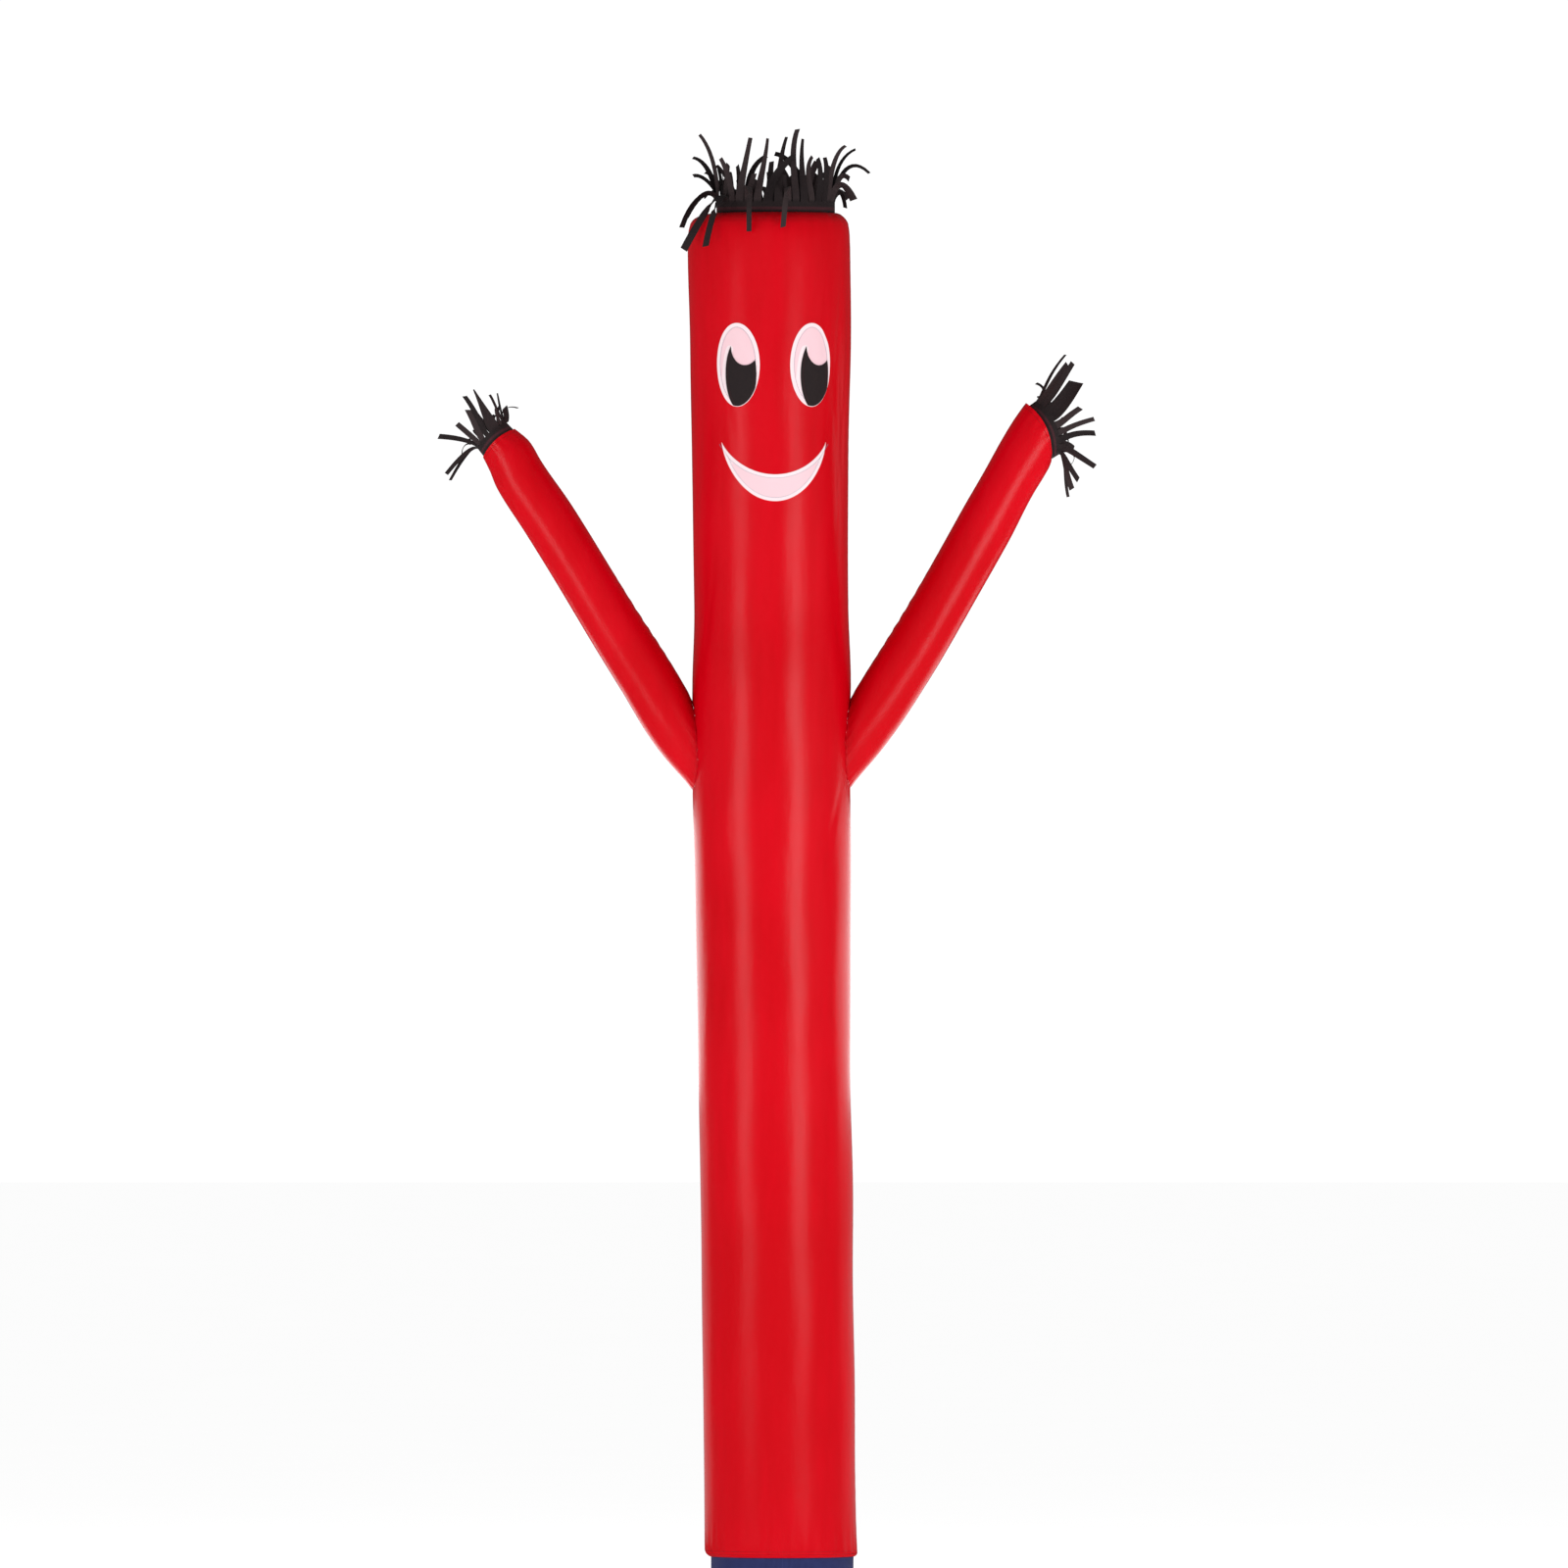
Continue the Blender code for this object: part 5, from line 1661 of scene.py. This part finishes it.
# %% Areas of the cut shapes
def cut_area(piece):
    """The flat area of a laid piece, from its cloth map: its two faces, halved."""
    mesh = bmesh.new()
    mesh.from_mesh(piece.data)
    bmesh.ops.triangulate(mesh, faces=mesh.faces[:])
    place = mesh.loops.layers.uv["cloth"]
    area = 0
    for face in mesh.faces:
        a, b, c = (loop[place].uv for loop in face.loops)
        area += abs((b - a).cross(c - a)) / 2
    mesh.free()
    return area / 2


def cut_size(piece):
    spots = [tuple(corner.uv) for corner in piece.data.uv_layers["cloth"].data]
    return [max(values) - min(values) for values in zip(*spots)]


for piece, node, slot, below in (
    (pupils["right"], "pupil_right", "black_cloth", whites["right"]),
    (pupils["left"], "pupil_left", "black_cloth", whites["left"]),
    (smile, "smile", "white_cloth", body_tube),
):
    size, area = cut_size(piece), cut_area(piece)
    stands_for(piece, node)
    print(piece.name, "was cut", [round(part, 4) for part in size], "area", round(area, 5))

for piece, slot in (
    (face_stitches, "white_cloth"),
    (pupil_stitches, "black_cloth"),
    (seam_stitches, "red_nylon"),
    (hem_stitches, "red_nylon"),
    (fringe_stitches, "red_nylon"),
):
    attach(piece, "root")

# %% [markdown]
# ## Studio
#
# The dancer stands before plain white. A white world lights it evenly from all round, and a white floor bounces
# that light. The world is dim where it is mirrored, or its sheen would wash the red out. Two tall soft lamps in
# front, to the left and to the right, make the two lighter bands down the tube; where a lamp must stand follows
# from mirroring the view in the cloth's surface. Those behind the dancer do the same for the pale lines along
# the tube's edges, strong below the arms and weak further down, and a small one for the head's edge. The last
# three lamps only light the cloth and are hidden from its gloss.

# %% World and floor
def white_world():
    """White where the camera sees it, softer as light and dim in reflections."""
    world = bpy.data.worlds.new("studio")
    bpy.context.scene.world = world
    world.use_nodes = True
    nodes, links = world.node_tree.nodes, world.node_tree.links
    nodes.clear()
    rays = nodes.new("ShaderNodeLightPath")
    last = None
    for strength, ray in ((WORLD_LIGHT, None), (WORLD_MIRRORED, "Is Glossy Ray"), (WORLD_SEEN, "Is Camera Ray")):
        white = nodes.new("ShaderNodeBackground")
        white.inputs["Color"].default_value = (1, 1, 1, 1)
        white.inputs["Strength"].default_value = strength
        shader = white.outputs["Background"]
        if last:
            both = nodes.new("ShaderNodeMixShader")
            links.new(rays.outputs[ray], both.inputs["Fac"])
            links.new(last, both.inputs[1])
            links.new(shader, both.inputs[2])
            shader = both.outputs["Shader"]
        last = shader
    end = nodes.new("ShaderNodeOutputWorld")
    links.new(last, end.inputs["Surface"])


WORLD_LIGHT, WORLD_MIRRORED, WORLD_SEEN = 0.46, 0.06, 1.05
FLOOR_HALF = 60.0
FLOOR_GLOW = 0.55
white_world()
bpy.ops.mesh.primitive_plane_add(size=2 * FLOOR_HALF)
floor = bpy.context.object
floor.name = "studio_floor"
pale = Graph("pale_floor", Roughness=0.9, Specular_IOR_Level=0.0, Emission_Strength=FLOOR_GLOW)
mottle = mixed(pale, noise(pale, 3.0), (0.90, 0.90, 0.90, 1), (0.93, 0.93, 0.93, 1))
floor.data.materials.append(pale.finish(Base_Color=mottle, Emission_Color=(1, 1, 1, 1)))
floor.visible_glossy = False

# %% Lamps
Lamp = namedtuple("Lamp", "name azimuth_deg away low high wide power mirrored")
LAMPS = [
    Lamp("band_left", -45, 4.0, 0.60, 2.35, 1.25, 32, True),
    Lamp("band_right", 36, 4.0, 0.60, 2.35, 1.45, 46, True),
    Lamp("rim_left", -150, 1.5, 1.00, 1.60, 1.40, 5.3, True),
    Lamp("rim_right", 142, 1.5, 1.00, 1.62, 1.95, 6.4, True),
    Lamp("low_left", -148, 1.5, 0.05, 1.00, 1.40, 2.0, True),
    Lamp("low_right", 140, 1.5, 0.05, 1.00, 1.95, 1.7, True),
    Lamp("head_right", 112, 2.0, 2.15, 2.55, 0.90, 0.6, True),
    Lamp("side_right", 68, 4.0, 0.9, 3.0, 1.6, 15, False),
    Lamp("side_left", -76, 4.0, 1.6, 3.0, 1.6, 7, False),
    Lamp("front_soft", -12, 6.0, 2.0, 4.6, 3.0, 26, False),
]
body_middle = STAND + Vector((body_section(GIRTH_HEIGHT)[0], 0, 0))
for lamp in LAMPS:
    data = bpy.data.lights.new(lamp.name, "AREA")
    data.shape = "RECTANGLE"
    data.size = lamp.wide
    data.size_y = lamp.high - lamp.low
    data.energy = lamp.power
    item = linked(lamp.name, data)
    azimuth = math.radians(lamp.azimuth_deg)
    spot = Vector((math.sin(azimuth), -math.cos(azimuth), 0)) * lamp.away
    item.location = body_middle + spot + UP * (lamp.low + lamp.high) / 2
    item.rotation_euler = spot.to_track_quat("Z", "Y").to_euler()
    item.visible_camera = False
    item.visible_glossy = lamp.mirrored

# %% Camera
FRAME_WIDE = 3.296
FRAME_MIDDLE = Vector((0.0355, 0, 1.6733))
CAMERA_AWAY = 60.0
SENSOR = 36.0
camera_data = bpy.data.cameras.new("camera")
camera_data.sensor_width = SENSOR
camera_data.lens = SENSOR * CAMERA_AWAY / FRAME_WIDE
camera_data.clip_end = 500
camera = linked("camera", camera_data)
camera.location = FRAME_MIDDLE + FRONT * CAMERA_AWAY
camera.rotation_euler = (math.pi / 2, 0, 0)
bpy.context.scene.camera = camera
bpy.context.scene.view_settings.view_transform = "Standard"
print("The lens is", round(camera_data.lens), "mm")
